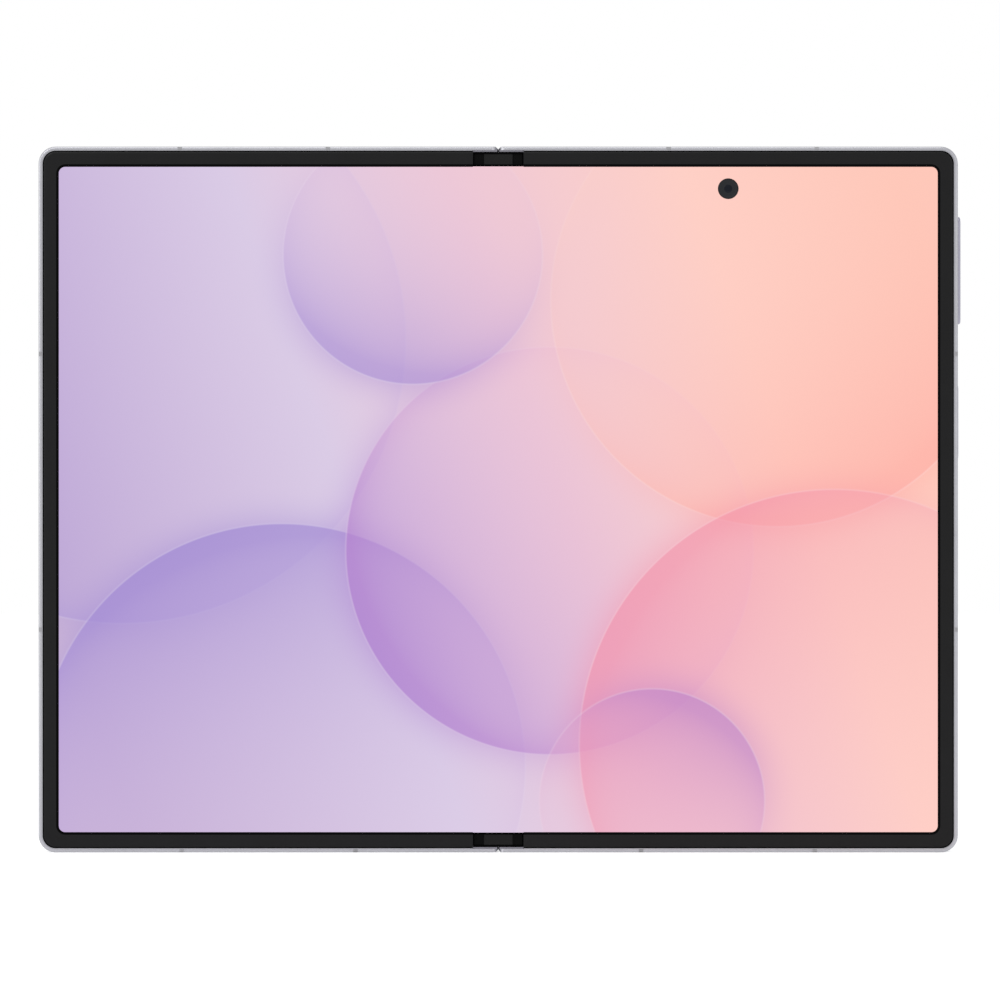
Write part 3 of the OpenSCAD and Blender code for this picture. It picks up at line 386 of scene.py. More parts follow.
# The screen shows a generic picture: large translucent discs over a lavender to peach ground.
# Each disc: centre and radius in mm from the screen's middle, the way that its tint grows
# (degrees), its two tints, and how strongly it covers.
DISCS = (
    ((-66, 28), 50, 195, (0.62, 0.53, 0.82), (0.77, 0.68, 0.89), 0.72),
    ((-38, -47), 43, 112, (0.60, 0.50, 0.82), (0.84, 0.75, 0.90), 0.74),
    ((9, -9), 36, 215, (0.66, 0.44, 0.80), (0.94, 0.72, 0.84), 0.74),
    ((49, 35), 40, 300, (1.00, 0.66, 0.62), (1.00, 0.83, 0.76), 0.66),
    ((59, -43), 45, 148, (0.95, 0.53, 0.64), (0.96, 0.72, 0.77), 0.66),
    ((-15, 43), 23, 250, (0.60, 0.48, 0.82), (0.90, 0.77, 0.88), 0.62),
    ((27, -53), 20, 60, (0.70, 0.46, 0.78), (0.97, 0.72, 0.80), 0.66),
)


def disc_group():
    """Node group that lays one translucent disc over a colour; all lengths in mm."""
    edge_softness = 0.35
    rim_width = 9.0                         # darker band inside the edge
    shade_width = 7.0                       # soft shade outside the edge, on the deep side
    line_width = 0.45                       # fine bright line along the edge
    group = bpy.data.node_groups.new("soft_disc", "ShaderNodeTree")
    face = group.interface
    for name, kind in (("Ground", "NodeSocketColor"), ("Place", "NodeSocketVector"),
                       ("Centre", "NodeSocketVector"), ("Toward", "NodeSocketVector"),
                       ("Radius", "NodeSocketFloat"), ("Cover", "NodeSocketFloat"),
                       ("Deep", "NodeSocketColor"), ("Pale", "NodeSocketColor")):
        face.new_socket(name, in_out="INPUT", socket_type=kind)
    face.new_socket("Colour", in_out="OUTPUT", socket_type="NodeSocketColor")
    inside = group.nodes.new("NodeGroupInput").outputs
    result = group.nodes.new("NodeGroupOutput")

    def times(*factors):
        """Product of sockets and numbers."""
        value = factors[0]
        for factor in factors[1:]:
            value = math_node(group, "MULTIPLY", value, factor)
        return value

    def fading(distance, width):
        """1 at the edge of the disc, 0 at a width from it."""
        share = math_node(group, "DIVIDE", distance, width, clamp=True)
        return math_node(group, "SUBTRACT", 1.0, share)

    offset = vector_node(group, "SUBTRACT", inside["Place"], inside["Centre"]).outputs["Vector"]
    distance = vector_node(group, "LENGTH", offset).outputs["Value"]
    along = vector_node(group, "DOT_PRODUCT", offset, inside["Toward"]).outputs["Value"]
    inward = math_node(group, "SUBTRACT", inside["Radius"], distance)
    outward = math_node(group, "MULTIPLY", inward, -1.0)
    mask = math_node(group, "DIVIDE", inward, edge_softness, clamp=True)
    reach = math_node(group, "DIVIDE", along, inside["Radius"])
    toward = math_node(group, "MULTIPLY_ADD", reach, 0.5, 0.5, clamp=True)
    fade = math_node(group, "POWER", toward, 1.6)
    rim_glow = math_node(group, "POWER", fading(inward, rim_width), 2.5)
    strength = math_node(group, "MULTIPLY_ADD", rim_glow, 0.25, fade, clamp=True)
    cover = times(strength, inside["Cover"], mask)
    near = math_node(group, "POWER", fading(outward, shade_width), 2.2)
    off_disc = math_node(group, "SUBTRACT", 1.0, mask)
    shadow = times(near, off_disc, times(fade, 0.30))
    line = times(fading(inward, line_width), mask)
    gleam = times(line, math_node(group, "MULTIPLY_ADD", toward, 0.35, 0.10))

    colour = mixed(group, shadow, inside["Ground"], inside["Deep"])
    tinted = mixed(group, toward, inside["Pale"], inside["Deep"])
    colour = mixed(group, cover, colour, tinted)
    colour = mixed(group, gleam, colour, (1, 0.96, 0.98))
    group.links.new(colour, result.inputs["Colour"])
    return group


def srgb(colour):
    """Colour written as it shows on the screen, to linear."""
    return tuple(c / 12.92 if c <= 0.04045 else ((c + 0.055) / 1.055) ** 2.4 for c in colour)


def screen_picture():
    """Lit screen under a glossy film; the picture lies on the mesh's flat map and bends with it."""
    material, tree, shader = new_material("screen_picture")
    shader.inputs["Base Color"].default_value = (0.004, 0.004, 0.005, 1)
    shader.inputs["Roughness"].default_value = 0.08
    shader.inputs["Specular IOR Level"].default_value = 0.3
    shader.inputs["Emission Strength"].default_value = 0.97
    flat = add(tree, "ShaderNodeUVMap", uv_map="screen")
    width, height = screen_width / MM, screen_height / MM
    spot = vector_node(tree, "MULTIPLY_ADD", flat.outputs["UV"], (width, height, 0),
                       (-width / 2, -height / 2, 0)).outputs["Vector"]

    # ground: lavender at the left, rose in the middle, peach at the upper right
    across = vector_node(tree, "DOT_PRODUCT", spot, (0.94, 0.34, 0))
    ground = add(tree, "ShaderNodeValToRGB")
    stops = ((0.06, (0.79, 0.70, 0.84)), (0.36, (0.86, 0.80, 0.90)), (0.56, (0.93, 0.78, 0.84)),
             (0.78, (1.0, 0.81, 0.77)), (0.97, (1.0, 0.78, 0.72)))
    elements = ground.color_ramp.elements
    while len(elements) < len(stops):
        elements.new(0.5)
    for stop, (at, colour) in zip(elements, stops):
        stop.position = at
        stop.color = (*srgb(colour), 1)
    half_reach = 90                         # mm from the middle to either end of the ground
    share = math_node(tree, "MULTIPLY_ADD", across.outputs["Value"], 0.5 / half_reach, 0.5)
    tree.links.new(share, ground.inputs["Fac"])
    colour = ground.outputs["Color"]

    group = disc_group()
    for centre, radius, angle, deep, pale, cover in DISCS:
        disc = add(tree, "ShaderNodeGroup", node_tree=group)
        turn = math.radians(angle)
        disc.inputs["Centre"].default_value = (*centre, 0)
        disc.inputs["Toward"].default_value = (math.cos(turn), math.sin(turn), 0)
        disc.inputs["Radius"].default_value = radius
        disc.inputs["Cover"].default_value = cover
        disc.inputs["Deep"].default_value = (*srgb(deep), 1)
        disc.inputs["Pale"].default_value = (*srgb(pale), 1)
        tree.links.new(spot, disc.inputs["Place"])
        tree.links.new(colour, disc.inputs["Ground"])
        colour = disc.outputs["Colour"]
    tree.links.new(colour, shader.inputs["Emission Color"])
    return material


SATIN = dict(rough=0.32, grain=5.0)
finish = {
    "frame_metal": frame_finish(),
    "band_plastic": plastic("band_plastic", (0.36, 0.36, 0.38), 0.42),
    "bezel_black": plastic("bezel_black", (0.0045, 0.0045, 0.005), 0.34, specular=0.18,
                           depth=0.002),
    # near-black and almost unreflecting: a black strip that is partly painted shade of the bezel's
    # inner edge
    "gasket": plastic("gasket", (0.0012, 0.0012, 0.0014), 0.6, specular=0.03, depth=0.003),
    "hinge_steel": metal("hinge_steel", (0.52, 0.53, 0.55), 0.30, stretch=(1, 1, 0.08),
                         grain=7.0),
    "lens_black": black_glass("lens_black", (0.006, 0.006, 0.008), 0.10),
    "back_glass": frosted_back(),
    "island_metal": metal("island_metal", (0.56, 0.54, 0.62), 0.30, grain=5.0),
    "ring_metal": metal("ring_metal", (0.42, 0.41, 0.46), 0.20, grain=8.0),
    "lens_glass": clear_glass("lens_glass", (0.86, 0.88, 1.0), index=1.1),
    "flash": clear_glass("flash", (1.0, 0.93, 0.72), rings_about=middle("flash_lens")),
    "board": circuit_board(),
    "shield": metal("shield", (0.60, 0.60, 0.58), 0.34, stretch=(1, 1, 0.2), grain=3.0),
    "cell": plastic("cell", (0.03, 0.03, 0.034), 0.45, grain=1.2, depth=0.03),
    "copper": wound_copper(middle("charging_coil")),
    "port_steel": metal("port_steel", (0.50, 0.50, 0.51), 0.28, grain=8.0, spread=0.04,
                        depth=0.001),
    "module_black": plastic("module_black", (0.012, 0.012, 0.014), 0.5),
    "magnet": metal("magnet", (0.52, 0.52, 0.55), 0.22, grain=2.0),
    "screw": metal("screw", (0.14, 0.14, 0.15), 0.38, grain=8.0),
    "contact_gold": metal("contact_gold", (0.80, 0.55, 0.20), 0.26, grain=6.0),
    "key_metal": metal("key_metal", (0.34, 0.33, 0.40), **SATIN),
    "cover_glass": black_glass("cover_glass", (0.004, 0.004, 0.005), 0.04),
    "spine_metal": metal("spine_metal", (0.56, 0.56, 0.60), 0.28, stretch=(1, 1, 0.3),
                         grain=5.0),
    "bracket_steel": metal("bracket_steel", (0.20, 0.20, 0.22), 0.42, grain=3.0, depth=0.01),
    "gear_steel": metal("gear_steel", (0.62, 0.50, 0.28), 0.26, stretch=(1, 1, 0.1), grain=6.0),
    "flex": plastic("flex", (0.30, 0.10, 0.02), 0.36, grain=2.0),
    "display": plastic("display", (0.01, 0.01, 0.012), 0.3, specular=0.3),
}
picture = screen_picture()


def wear(piece, material):
    """Puts one material on all of a piece's slots."""
    if not piece.material_slots:
        piece.data.materials.append(material)
    for material_slot in piece.material_slots:
        material_slot.material = material


def dress_end_caps():
    """Blacks the end caps of the hinge; their lower sides, behind the raised middle, are painted
    darker and less glossy as painted shade.
    """
    margin = 0.02 * MM
    end_caps = frame["nodes"]["spine_end_caps"]
    wear(end_caps, plastic("cap_middle", (0.006, 0.006, 0.006), 0.40, specular=0.15, depth=0.004))
    # painted shade: the recessed sides get a darker, duller black than the middle
    sides = plastic("cap_sides_painted_shade", (0.003, 0.003, 0.003), 0.40, specular=0.05, depth=0.004)
    end_caps.data.materials.append(sides)
    for face in end_caps.data.polygons:
        if abs(face.center.x) > CAP_MIDDLE + margin:
            face.material_index = len(end_caps.data.materials) - 1


node_slot = {row["node"]: row["material_slot"] for row in frame["record"]["subparts"]}
for node_name, node_piece in frame["nodes"].items():
    wear(node_piece, finish[node_slot[node_name]])
dress_end_caps()


# ------------------------------------------------------------------ mesh helpers

def make_piece(name, bm, body, slot, *materials):
    """Turns a bmesh into a piece that rides on a body."""
    bmesh.ops.recalc_face_normals(bm, faces=bm.faces)
    mesh = bpy.data.meshes.new(name)
    bm.to_mesh(mesh)
    bm.free()
    piece = bpy.data.objects.new(name, mesh)
    bpy.context.scene.collection.objects.link(piece)
    for material in materials:
        mesh.materials.append(material)
    if body:
        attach(piece, body)
    return piece


def smooth(piece, angle=35):
    """Shades smooth, with edges over the angle kept sharp."""
    for polygon in piece.data.polygons:
        polygon.use_smooth = True
    piece.data.set_sharp_from_angle(angle=math.radians(angle))


def spin(bm, profile, centre, outward, segments):
    """Adds a closed body of revolution about the depth axis; profile is (radius, height) in mm.

    A profile that ends where it starts makes a ring, any other one starts and ends on the axis.
    """
    is_ring = profile[0] == profile[-1]
    turns = []
    for radius, height in profile[:-1] if is_ring else profile:
        turn = []
        count = segments if radius > 0 else 1
        for i in range(count):
            angle = 2 * math.pi * i / count
            out = Vector((math.cos(angle), 0, math.sin(angle))) * radius * MM
            turn.append(bm.verts.new(centre + out + outward * height * MM))
        turns.append(turn)
    if is_ring:
        turns.append(turns[0])
    for first, second in zip(turns, turns[1:]):
        for i in range(segments):
            corners = [first[i % len(first)], first[(i + 1) % len(first)],
                       second[(i + 1) % len(second)], second[i % len(second)]]
            unique = list(dict.fromkeys(corners))
            if len(unique) > 2:
                bm.faces.new(unique)


# ------------------------------------------------------------------ the screen

def arc(cx, cz, radius, start, end, steps=ARC_STEPS):
    """Points of an arc in the plane of the screen, between two angles in degrees."""
    points = []
    for i in range(steps + 1):
        angle = math.radians(start + (end - start) * i / steps)
        points.append((cx + radius * math.cos(angle), cz + radius * math.sin(angle)))
    return points


def screen_half(name, side, panel_lo, panel_hi, nodes):
    """One half of the screen, from the hinge line outwards; its inner end is cut into narrow
    columns.
    """
    outer = max(abs(panel_lo.x), abs(panel_hi.x))
    inner = min(abs(panel_lo.x), abs(panel_hi.x))
    low, high = panel_lo.z, panel_hi.z
    r = PANEL_CORNER
    outline = [(0, fold_lo.z), (inner, fold_lo.z), (inner, low)]
    outline += arc(outer - r, low + r, r, -90, 0)
    outline += arc(outer - r, high - r, r, 0, 90)
    outline += [(inner, high), (inner, fold_hi.z), (0, fold_hi.z)]
    loops = [outline]
    if side > 0:
        eye = middle("inner_camera")
        loops.append(arc(eye.x, eye.z, CAMERA_HOLE_R, 0, 360, steps=64)[:-1])

    bm = bmesh.new()
    edges = []
    for loop in loops:
        verts = [bm.verts.new((side * x, screen_front, z)) for x, z in loop]
        edges += [bm.edges.new((a, b)) for a, b in zip(verts, verts[1:] + verts[:1])]
    filled = bmesh.ops.triangle_fill(bm, edges=edges, use_beauty=True, use_dissolve=False)
    faces = [g for g in filled["geom"] if isinstance(g, bmesh.types.BMFace)]
    extruded = bmesh.ops.extrude_face_region(bm, geom=faces, use_keep_orig=True)
    moved = [g for g in extruded["geom"] if isinstance(g, bmesh.types.BMVert)]
    bmesh.ops.translate(bm, verts=moved, vec=(0, screen_back - screen_front, 0))
    for i in range(1, BEND_COLUMNS + 1):
        everything = list(bm.verts) + list(bm.edges) + list(bm.faces)
        column = side * BEND_END * i / BEND_COLUMNS
        bmesh.ops.bisect_plane(bm, geom=everything, dist=SAME_POINT, plane_co=(column, 0, 0),
                               plane_no=(1, 0, 0))
    bmesh.ops.remove_doubles(bm, verts=bm.verts, dist=SAME_POINT)
    bmesh.ops.recalc_face_normals(bm, faces=bm.faces)

    flat = bm.loops.layers.uv.new("screen")
    for face in bm.faces:
        face.material_index = 0 if face.normal.y < -0.5 else 1
        for corner in face.loops:
            x, _, z = corner.vert.co
            corner[flat].uv = ((x - left_panel_lo.x) / screen_width,
                               (z - right_panel_lo.z) / screen_height)
    piece = make_piece(name, bm, None, "display", picture, finish["display"])
    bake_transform(piece)
    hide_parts(*nodes)


screen_half("screen_left", -1, left_panel_lo, left_panel_hi,
            ("display_left_panel", "display_fold_zone"))
screen_half("screen_right", 1, right_panel_lo, right_panel_hi,
            ("display_right_panel", "display_fold_zone"))


# ------------------------------------------------------------------ the bezel

def bezel_section(front, back):
    """Section of the bezel, with the rows of its points that begin a face of trim or gasket.

    A point is the line that it follows, its distance inwards from the outer line or outwards
    from the edge of the screen, and its depth.
    """
    lip_back = screen_front - FINE_EDGE
    gasket_shade_front = front + FINE_STEP
    trim_back = front + TRIM_DEPTH
    roll_width, roll_depth = EDGE_ROLL
    roll = []
    for i in range(ROLL_STEPS + 1):
        angle = math.radians(90 * i / ROLL_STEPS)
        roll.append(("outer", LIP_TRIM + roll_width * (1 - math.cos(angle)),
                     front + roll_depth * (1 - math.sin(angle))))
    trim = [("outer", -FINE_STEP, trim_back), ("outer", -FINE_STEP, front + FINE_STEP),
            ("outer", 0, front), ("outer", LIP_TRIM - FINE_STEP, front),
            ("outer", LIP_TRIM, front + FINE_EDGE)]
    strip = [("inner", GASKET_SHADE_WIDTH + FINE_STEP, front), ("inner", GASKET_SHADE_WIDTH, gasket_shade_front),
             ("inner", FINE_EDGE - GASKET_SHADE_LAP, gasket_shade_front),
             ("inner", -GASKET_SHADE_LAP, gasket_shade_front + FINE_EDGE),
             ("inner", -GASKET_SHADE_LAP, lip_back), ("inner", PANEL_OVERLAP, lip_back)]
    start = [("outer", 0, back), ("outer", 0, trim_back)]
    trim_rows = range(1, 1 + len(trim))
    gasket_shade_start = len(start + trim + roll)
    gasket_shade_rows = range(gasket_shade_start, gasket_shade_start + 4)
    return start + trim + roll + strip + [("inner", PANEL_OVERLAP, back)], trim_rows, gasket_shade_rows


def bezel_half(name, side, body, node):
    """Bezel of one half: a strip with a rolled outer edge, and a black gasket beside the screen
    whose near-black is partly painted shade.
    """
    low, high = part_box(node)
    reach = max(abs(low.x), abs(high.x))
    outer_r = BODY_CORNER - (body_hi.x - reach)
    section, trim_rows, gasket_shade_rows = bezel_section(low.y, high.y)

    def line(kind, distance, y):
        """One long edge of the bezel, from the hinge round both corners and back."""
        if kind == "outer":
            x1, z0, z1, r, r_line = reach, low.z, high.z, outer_r, outer_r - distance
        else:
            x1 = screen_half_x
            z0, z1 = body_middle_z - screen_half_z, body_middle_z + screen_half_z
            r, r_line = SCREEN_CORNER, SCREEN_CORNER + distance
        points = [(bezel_x0, z1 - r + r_line)] + arc(x1 - r, z1 - r, r_line, 90, 0)
        points += arc(x1 - r, z0 + r, r_line, 0, -90) + [(bezel_x0, z0 + r - r_line)]
        return [Vector((side * x, y, z)) for x, z in points]

    bm = bmesh.new()
    rows = [[bm.verts.new(point) for point in line(*place_of)] for place_of in section]
    for k, (first, second) in enumerate(zip(rows, rows[1:] + rows[:1])):
        for i in range(len(first) - 1):
            face = bm.faces.new((first[i], first[i + 1], second[i + 1], second[i]))
            face.material_index = 2 if k in trim_rows else int(k in gasket_shade_rows)
    for end in (0, -1):
        bm.faces.new([row[end] for row in rows])
    piece = make_piece(name, bm, body, "bezel_black", finish["bezel_black"], finish["gasket"],
                       finish["frame_metal"])
    smooth(piece, angle=40)
    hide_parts(node)


bezel_half("bezel_left", -1, "left_half", "left_bezel")
bezel_half("bezel_right", 1, "right_half", "right_bezel")


def add_bar(bm, low, high, edge):
    """Adds a bar with chamfered edges between two corners."""
    made = bmesh.ops.create_cube(bm, size=1)
    size = high - low
    for vert in made["verts"]:
        vert.co = low + Vector([size[i] * (vert.co[i] + 0.5) for i in range(3)])
    edges = list({e for v in made["verts"] for e in v.link_edges})
    bmesh.ops.bevel(bm, geom=edges, offset=edge, segments=2, profile=0.6, affect="EDGES")


def cap_shade_gaskets():
    """Black seals on the end caps of the hinge, along the rim and along the screen; their
    near-black is partly painted shade at those edges.
    """
    rim_shade_seal = 0.34 * MM
    screen_gap = 0.05 * MM
    rise, root, chamfer = 0.02 * MM, 0.01 * MM, 0.005 * MM
    low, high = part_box("spine_end_caps")
    side_front = low.y + CAP_STEP
    cap_start = body_hi.z - high.z
    cap_stop = fold_lo.z - body_lo.z - screen_gap
    runs = ((-CAP_MIDDLE, CAP_MIDDLE, low.y), (-CAP_SIDE, -CAP_MIDDLE, side_front),
            (CAP_MIDDLE, CAP_SIDE, side_front))
    bm = bmesh.new()
    # partly painted shade: near-black strips along the rim and along the screen's edge
    for near, far in ((cap_start, cap_start + rim_shade_seal), (cap_stop - GASKET_SHADE_WIDTH, cap_stop)):
        for z0, z1 in ((body_lo.z + near, body_lo.z + far), (body_hi.z - far, body_hi.z - near)):
            for x0, x1, front in runs:
                add_bar(bm, Vector((x0, front - rise, z0)), Vector((x1, front + root, z1)), chamfer)
    make_piece("cap_shade_gaskets", bm, "spine", "bezel_black", finish["gasket"])


cap_shade_gaskets()


# ------------------------------------------------------------------ lenses and contacts

# Profiles of turned pieces: radius and height in mm from the face that they stand on.
FUNNEL = ((0, 0.002), (1.70, 0.002), (1.70, 0.085), (1.52, 0.085), (1.42, 0.05), (1.34, 0.03),
          (0, 0.02))
LENS_TRIM = ((2.24, -1.09), (2.50, -1.09), (2.50, -1.02), (2.42, -0.99), (2.30, -1.0),
             (2.24, -1.03), (2.24, -1.09))
LENS_BAFFLE = ((3.22, -0.39), (3.82, -0.39), (3.82, -0.33), (3.66, -0.30), (3.52, -0.36),
               (3.38, -0.33), (3.22, -0.39))
FLASH_SEAT = ((0, -0.9), (1.42, -0.9), (1.42, -0.35), (1.2, -0.4), (0.95, -0.75), (0, -0.75))
FLASH_CHIP = ((0, -0.74), (0.62, -0.74), (0.62, -0.64), (0.56, -0.6), (0, -0.6))
COVER_EYE_RING = ((0.95, -0.02), (1.75, -0.02), (1.75, 0.004), (0.95, 0.004), (0.95, -0.02))
SPINE_PLUG = ((0, -0.045), (0.345, -0.045), (0.345, -0.008), (0.335, 0), (0, 0))
# The rear lenses with the sheen of each.
REAR_LENSES = (("upper", (0.10, 0.05, 0.22)), ("lower", (0.03, 0.12, 0.16)))


def coated(name, colour, sheen, specular=0.3, coat=0.4):
    """Dark lens element whose coating shows a colour at a slant."""
    material, tree, shader = new_material(name)
    shader.inputs["Roughness"].default_value = 0.03
    shader.inputs["Specular IOR Level"].default_value = specular
    shader.inputs["Coat Weight"].default_value = coat
    shader.inputs["Coat Roughness"].default_value = 0.01
    slant = add(tree, "ShaderNodeLayerWeight")
    slant.inputs["Blend"].default_value = 0.4
    tree.links.new(ramp(tree, slant.outputs["Facing"], colour, sheen, (0.1, 0.9)),
                   shader.inputs["Base Color"])
    return material


def ringed(name, colour, pitch_mm, centre, depth=0.03):
    """Black barrel with fine turned grooves about the lens."""
    material, tree, shader = new_material(name)
    shader.inputs["Specular IOR Level"].default_value = 0.25
    groove = rings(tree, centre, pitch_mm)
    tones = ramp(tree, groove, shade(colour, 0.6), shade(colour, 1.4))
    tree.links.new(tones, shader.inputs["Base Color"])
    tree.links.new(scaled(tree, groove, 0.35, 0.55), shader.inputs["Roughness"])
    bump(tree, shader, groove, depth)
    return material


def dome(radius, height, foot):
    """Profile of a lens cap: a flat foot, then an arc that ends exactly on the axis."""
    steps = 7
    angles = [math.radians(90 * i / steps) for i in range(steps)]
    slope = [(radius * math.cos(a), foot + height * math.sin(a)) for a in angles]
    return [(0, foot), *slope, (0, foot + height)]


def turned(name, profile, centre, outward, body, slot, material, segments=64, angle=35):
    """A turned piece about the depth axis, riding on a body."""
    bm = bmesh.new()
    spin(bm, profile, centre, outward, segments)
    smooth(make_piece(name, bm, body, slot, material), angle)


def inner_eye():
    """Lens of the inner camera, just under the screen's face: funnel and small front element."""
    centre = middle("inner_camera")
    centre.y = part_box("inner_camera")[0].y
    funnel = ringed("eye_funnel", (0.007, 0.0085, 0.011), 0.16, centre, depth=0.004)
    glass = coated("eye_glass", (0.002, 0.004, 0.010), (0.05, 0.09, 0.22), specular=0.1,
                   coat=0.12)
    turned("inner_eye_funnel", FUNNEL, centre, FRONT, "right_half", "lens_black", funnel)
    turned("inner_eye_glass", dome(0.72, 0.055, 0.022), centre, FRONT, "right_half", "lens_black",
           glass, segments=48, angle=60)


def rear_eyes():
    """Front element, trim ring and turned baffle of each rear camera, down in its funnel."""
    ring_lo, ring_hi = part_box("rear_lens_rings")
    ring_width = ring_hi.x - ring_lo.x
    island_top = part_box("camera_island")[1].y
    x = (ring_lo.x + ring_hi.x) / 2
    heights = (ring_hi.z - ring_width / 2, ring_lo.z + ring_width / 2)
    for (name, sheen), z in zip(REAR_LENSES, heights):
        face = Vector((x, island_top, z))
        baffle = ringed(name + "_baffle", (0.010, 0.010, 0.012), 0.22, face)
        element = coated(name + "_element", (0.004, 0.006, 0.014), sheen)
        turned(name + "_lens_element", dome(2.15, 0.55, -1.29), face, BACK, "right_half",
               "lens_black", element, angle=60)
        turned(name + "_lens_trim", LENS_TRIM, face, BACK, "right_half", "ring_metal",
               finish["ring_metal"])
        turned(name + "_lens_baffle", LENS_BAFFLE, face, BACK, "right_half", "lens_black", baffle)


def flash_chip():
    """Yellow emitter on its white seat, seen through the flash lens."""
    centre = middle("flash_lens")
    centre.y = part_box("flash_lens")[1].y
    seat = plastic("flash_seat", (0.75, 0.73, 0.66), 0.5)
    chip = plastic("flash_chip", (0.85, 0.60, 0.08), 0.45, grain=12, spread=0.2)
    turned("flash_seat", FLASH_SEAT, centre, BACK, "right_half", "flash", seat, segments=48)
    turned("flash_chip", FLASH_CHIP, centre, BACK, "right_half", "flash", chip,
           segments=4, angle=20)


def cover_eye():
    """Camera window in the cover glass: clear spot over the lens, with a thin ring round it."""
    centre = middle("cover_camera")
    centre.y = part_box("cover_glass")[1].y
    ring = ringed("cover_eye_ring", (0.012, 0.012, 0.014), 0.3, centre)
    turned("cover_eye_ring", COVER_EYE_RING, centre, BACK, "left_half", "lens_black", ring)
    glass = coated("cover_eye_glass", (0.003, 0.005, 0.012), (0.05, 0.08, 0.20))
    turned("cover_eye_glass", dome(0.93, 0.03, -0.02), centre, BACK, "left_half", "lens_black",
           glass, segments=48, angle=60)


def port_contacts():
    """Plated strips on both faces of the tongue in the charging port."""
    count, pitch, width, rise = 12, 0.5 * MM, 0.26 * MM, 0.02 * MM
    tongue_half = 0.35 * MM
    start, stop = 0.75 * MM, 4.6 * MM       # up from the port's mouth
    chamfer = 0.006 * MM
    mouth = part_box("charging_port")[0].z
    centre = middle("charging_port")
    bm = bmesh.new()
    for i in range(count):
        left = centre.x + (i - (count - 1) / 2) * pitch - width / 2
        for way in (-1, 1):
            near, far = sorted((centre.y + way * tongue_half,
                                centre.y + way * (tongue_half + rise)))
            add_bar(bm, Vector((left, near, mouth + start)),
                    Vector((left + width, far, mouth + stop)), chamfer)
    make_piece("port_contacts", bm, "right_half", "contact_gold", finish["contact_gold"])


def earpiece_mesh():
    """Fine black mesh set back in the earpiece slot of the cover glass."""
    half_length, half_width = 5.4 * MM, 0.24 * MM
    front, back = 0.3 * MM, 0.16 * MM       # behind the face of the glass
    edge_distance = 0.7 * MM
    rounding = 0.04 * MM
    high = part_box("cover_glass")[1]
    x = middle("cover_camera").x
    z = high.z - edge_distance
    bm = bmesh.new()
    add_bar(bm, Vector((x - half_length, high.y - front, z - half_width)),
            Vector((x + half_length, high.y - back, z + half_width)), rounding)
    material, tree, shader = new_material("mesh_black")
    cells = add(tree, "ShaderNodeTexVoronoi")
    cells.inputs["Scale"].default_value = 9.0
    cells.inputs["Randomness"].default_value = 0.0
    tree.links.new(place(tree), cells.inputs["Vector"])
    distance = cells.outputs["Distance"]
    tones = ramp(tree, distance, (0.001, 0.001, 0.001), (0.05, 0.05, 0.055), (0.3, 0.5))
    tree.links.new(tones, shader.inputs["Base Color"])
    bump(tree, shader, distance, 0.03)
    shader.inputs["Roughness"].default_value = 0.5
    make_piece("earpiece_mesh", bm, "left_half", "module_black", material)


def spine_plugs():
    """Flush plugs over the screw ends in the back of the hinge cover."""
    tip_depth = 0.01 * MM                   # a screw's points this near its tip mark its place
    between_screws = 1 * MM
    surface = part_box("spine_cover")[1].y
    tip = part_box("bracket_screws")[1].y
    heights = sorted(vert.co.z for vert in frame["nodes"]["bracket_screws"].data.vertices
                     if tip - vert.co.y < tip_depth)
    ends = [[heights[0], heights[0]]]
    for height in heights:
        if height - ends[-1][1] > between_screws:
            ends.append([height, height])
        ends[-1][1] = height
    bm = bmesh.new()
    for bottom, top in ends:
        spin(bm, SPINE_PLUG, Vector((0, surface, (bottom + top) / 2)), BACK, segments=32)
    smooth(make_piece("spine_plugs", bm, "spine", "spine_metal", finish["spine_metal"]))


inner_eye()
rear_eyes()
flash_chip()
cover_eye()
port_contacts()
earpiece_mesh()
spine_plugs()


# ------------------------------------------------------------------ the flat cable in the hinge

def cable_half(name, side):
    """Half of the cable from the hinge line outwards."""
    columns = 64
    thickness = 0.12 * MM
    dip_half, dip = 3.6 * MM, 1.4 * MM      # slack that hangs into the spine
    low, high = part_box("hinge_flex")
    bm = bmesh.new()
    rows = []
    for i in range(columns + 1):
        x = high.x * i / columns
        sink = dip / 2 * (1 + math.cos(math.pi * x / dip_half)) if x < dip_half else 0
        back = low.y + thickness + sink
        front = back - thickness
        rows.append([bm.verts.new((side * x, y, z)) for y, z in
                     ((back, low.z), (back, high.z), (front, high.z), (front, low.z))])
    for first, second in zip(rows, rows[1:]):
        for k in range(4):
            bm.faces.new((first[k], first[(k + 1) % 4], second[(k + 1) % 4], second[k]))
    bm.faces.new(rows[0])
    bm.faces.new(rows[-1])
    piece = make_piece(name, bm, None, "flex", finish["flex"])
    smooth(piece)
    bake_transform(piece)
    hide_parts("hinge_flex")


cable_half("cable_left", -1)
cable_half("cable_right", 1)


# ------------------------------------------------------------------ studio

# Name, place, size, power; lengths in metres.
LAMPS = (
    ("key", (-0.75, -0.85, 0.95), 0.5, 2.6),
    ("over", (-0.1, -0.55, 1.15), 0.8, 2.4),
    ("side", (-1.15, -0.5, 0.25), 0.8, 2.2),
    ("fill", (0.9, -0.9, 0.35), 0.6, 0.6),
    ("rear", (0.6, 1.2, 0.45), 0.7, 1.8),
)
LAMP_AIM = Vector((0, 0, 0.06))
PICTURE_WIDTH = 1000                        # pixels
PIXEL_SIZE = 0.1755 * MM                    # what a pixel spans at the screen


def seen_white(tree):
    """1 for the rays of the camera, of reflections and through glass, 0 for the others."""
    path = add(tree, "ShaderNodeLightPath")
    seen = math_node(tree, "ADD", path.outputs["Is Camera Ray"], path.outputs["Is Glossy Ray"])
    return math_node(tree, "ADD", seen, path.outputs["Is Transmission Ray"], clamp=True)


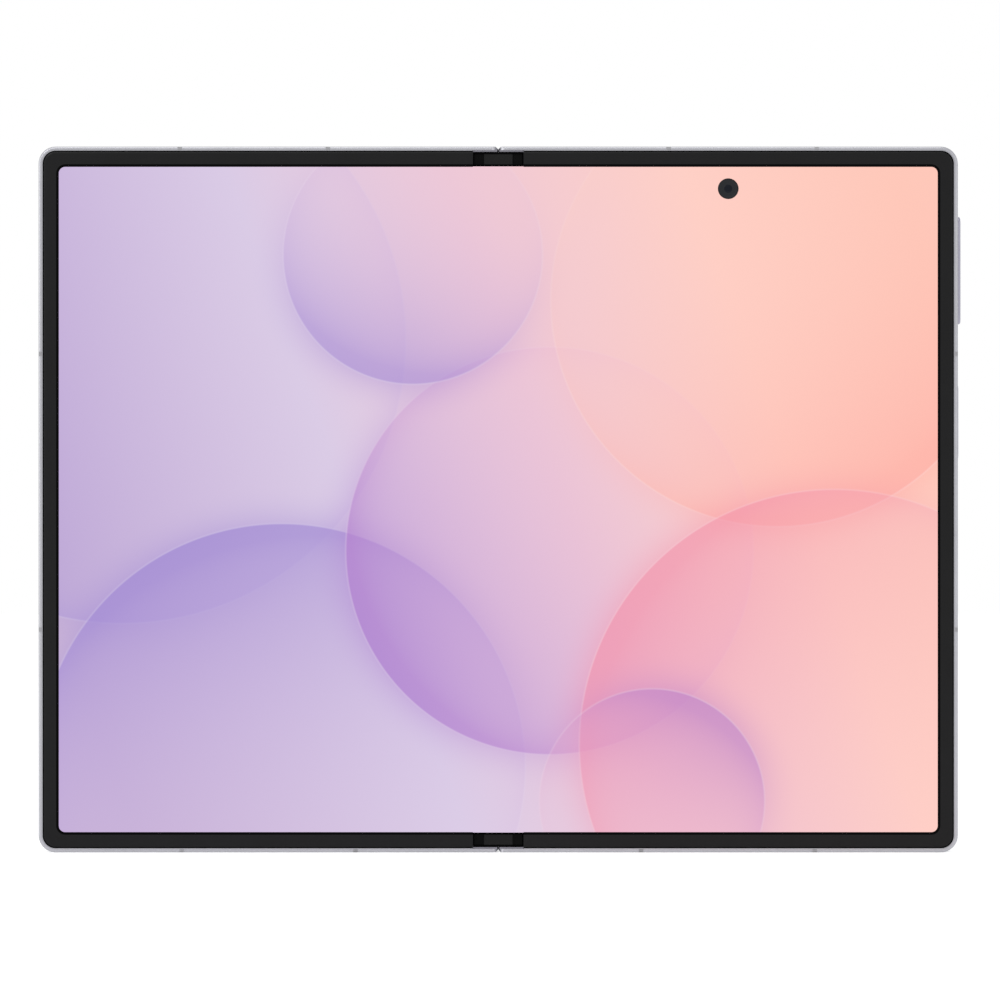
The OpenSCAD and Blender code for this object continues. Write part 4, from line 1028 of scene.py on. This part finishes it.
def floor():
    """Pale floor that keeps the shadow and otherwise goes to white in the camera."""
    half = 2.5
    lift = 0.5
    mesh = bpy.data.meshes.new("floor")
    mesh.from_pydata([(-half, -half, 0), (half, -half, 0), (half, half, 0), (-half, half, 0)], [],
                     [(0, 1, 2, 3)])
    piece = bpy.data.objects.new("floor", mesh)
    bpy.context.scene.collection.objects.link(piece)
    material, tree, shader = new_material("floor")
    shader.inputs["Base Color"].default_value = (0.86, 0.86, 0.86, 1)
    shader.inputs["Roughness"].default_value = 0.9
    shader.inputs["Specular IOR Level"].default_value = 0.1
    shader.inputs["Emission Color"].default_value = (1, 1, 1, 1)
    glow = math_node(tree, "MULTIPLY", seen_white(tree), lift)
    tree.links.new(glow, shader.inputs["Emission Strength"])
    piece.data.materials.append(material)


def world():
    """White to the camera, to reflections and through glass; a plain fill for everything else."""
    fill = 0.62
    sky = bpy.data.worlds.new("studio")
    bpy.context.scene.world = sky
    sky.use_nodes = True
    tree = sky.node_tree
    background = tree.nodes["Background"]
    background.inputs["Color"].default_value = (1, 1, 1, 1)
    strength = math_node(tree, "MULTIPLY_ADD", seen_white(tree), 1 - fill, fill)
    tree.links.new(strength, background.inputs["Strength"])


def lamp(name, at, size, power):
    """Round soft lamp turned towards the phone."""
    data = bpy.data.lights.new(name, "AREA")
    data.shape = "DISK"
    data.size = size
    data.energy = power
    piece = bpy.data.objects.new(name, data)
    bpy.context.scene.collection.objects.link(piece)
    piece.location = at
    piece.rotation_euler = (LAMP_AIM - Vector(at)).to_track_quat("-Z", "Y").to_euler()


def camera():
    """Long lens straight in front of the screen."""
    distance = 1.2
    view_width = PICTURE_WIDTH * PIXEL_SIZE
    centre_x = 0.307 * MM
    centre_z = body_middle_z - 0.088 * MM
    data = bpy.data.cameras.new("camera")
    data.sensor_width = 36
    data.lens = data.sensor_width * distance / view_width
    data.clip_end = 20
    piece = bpy.data.objects.new("camera", data)
    bpy.context.scene.collection.objects.link(piece)
    piece.location = (centre_x, body_lo.y - distance, centre_z)
    piece.rotation_euler = (math.radians(90), 0, 0)
    bpy.context.scene.camera = piece


floor()
world()
for lamp_row in LAMPS:
    lamp(*lamp_row)
camera()
bpy.context.scene.view_settings.view_transform = "Standard"
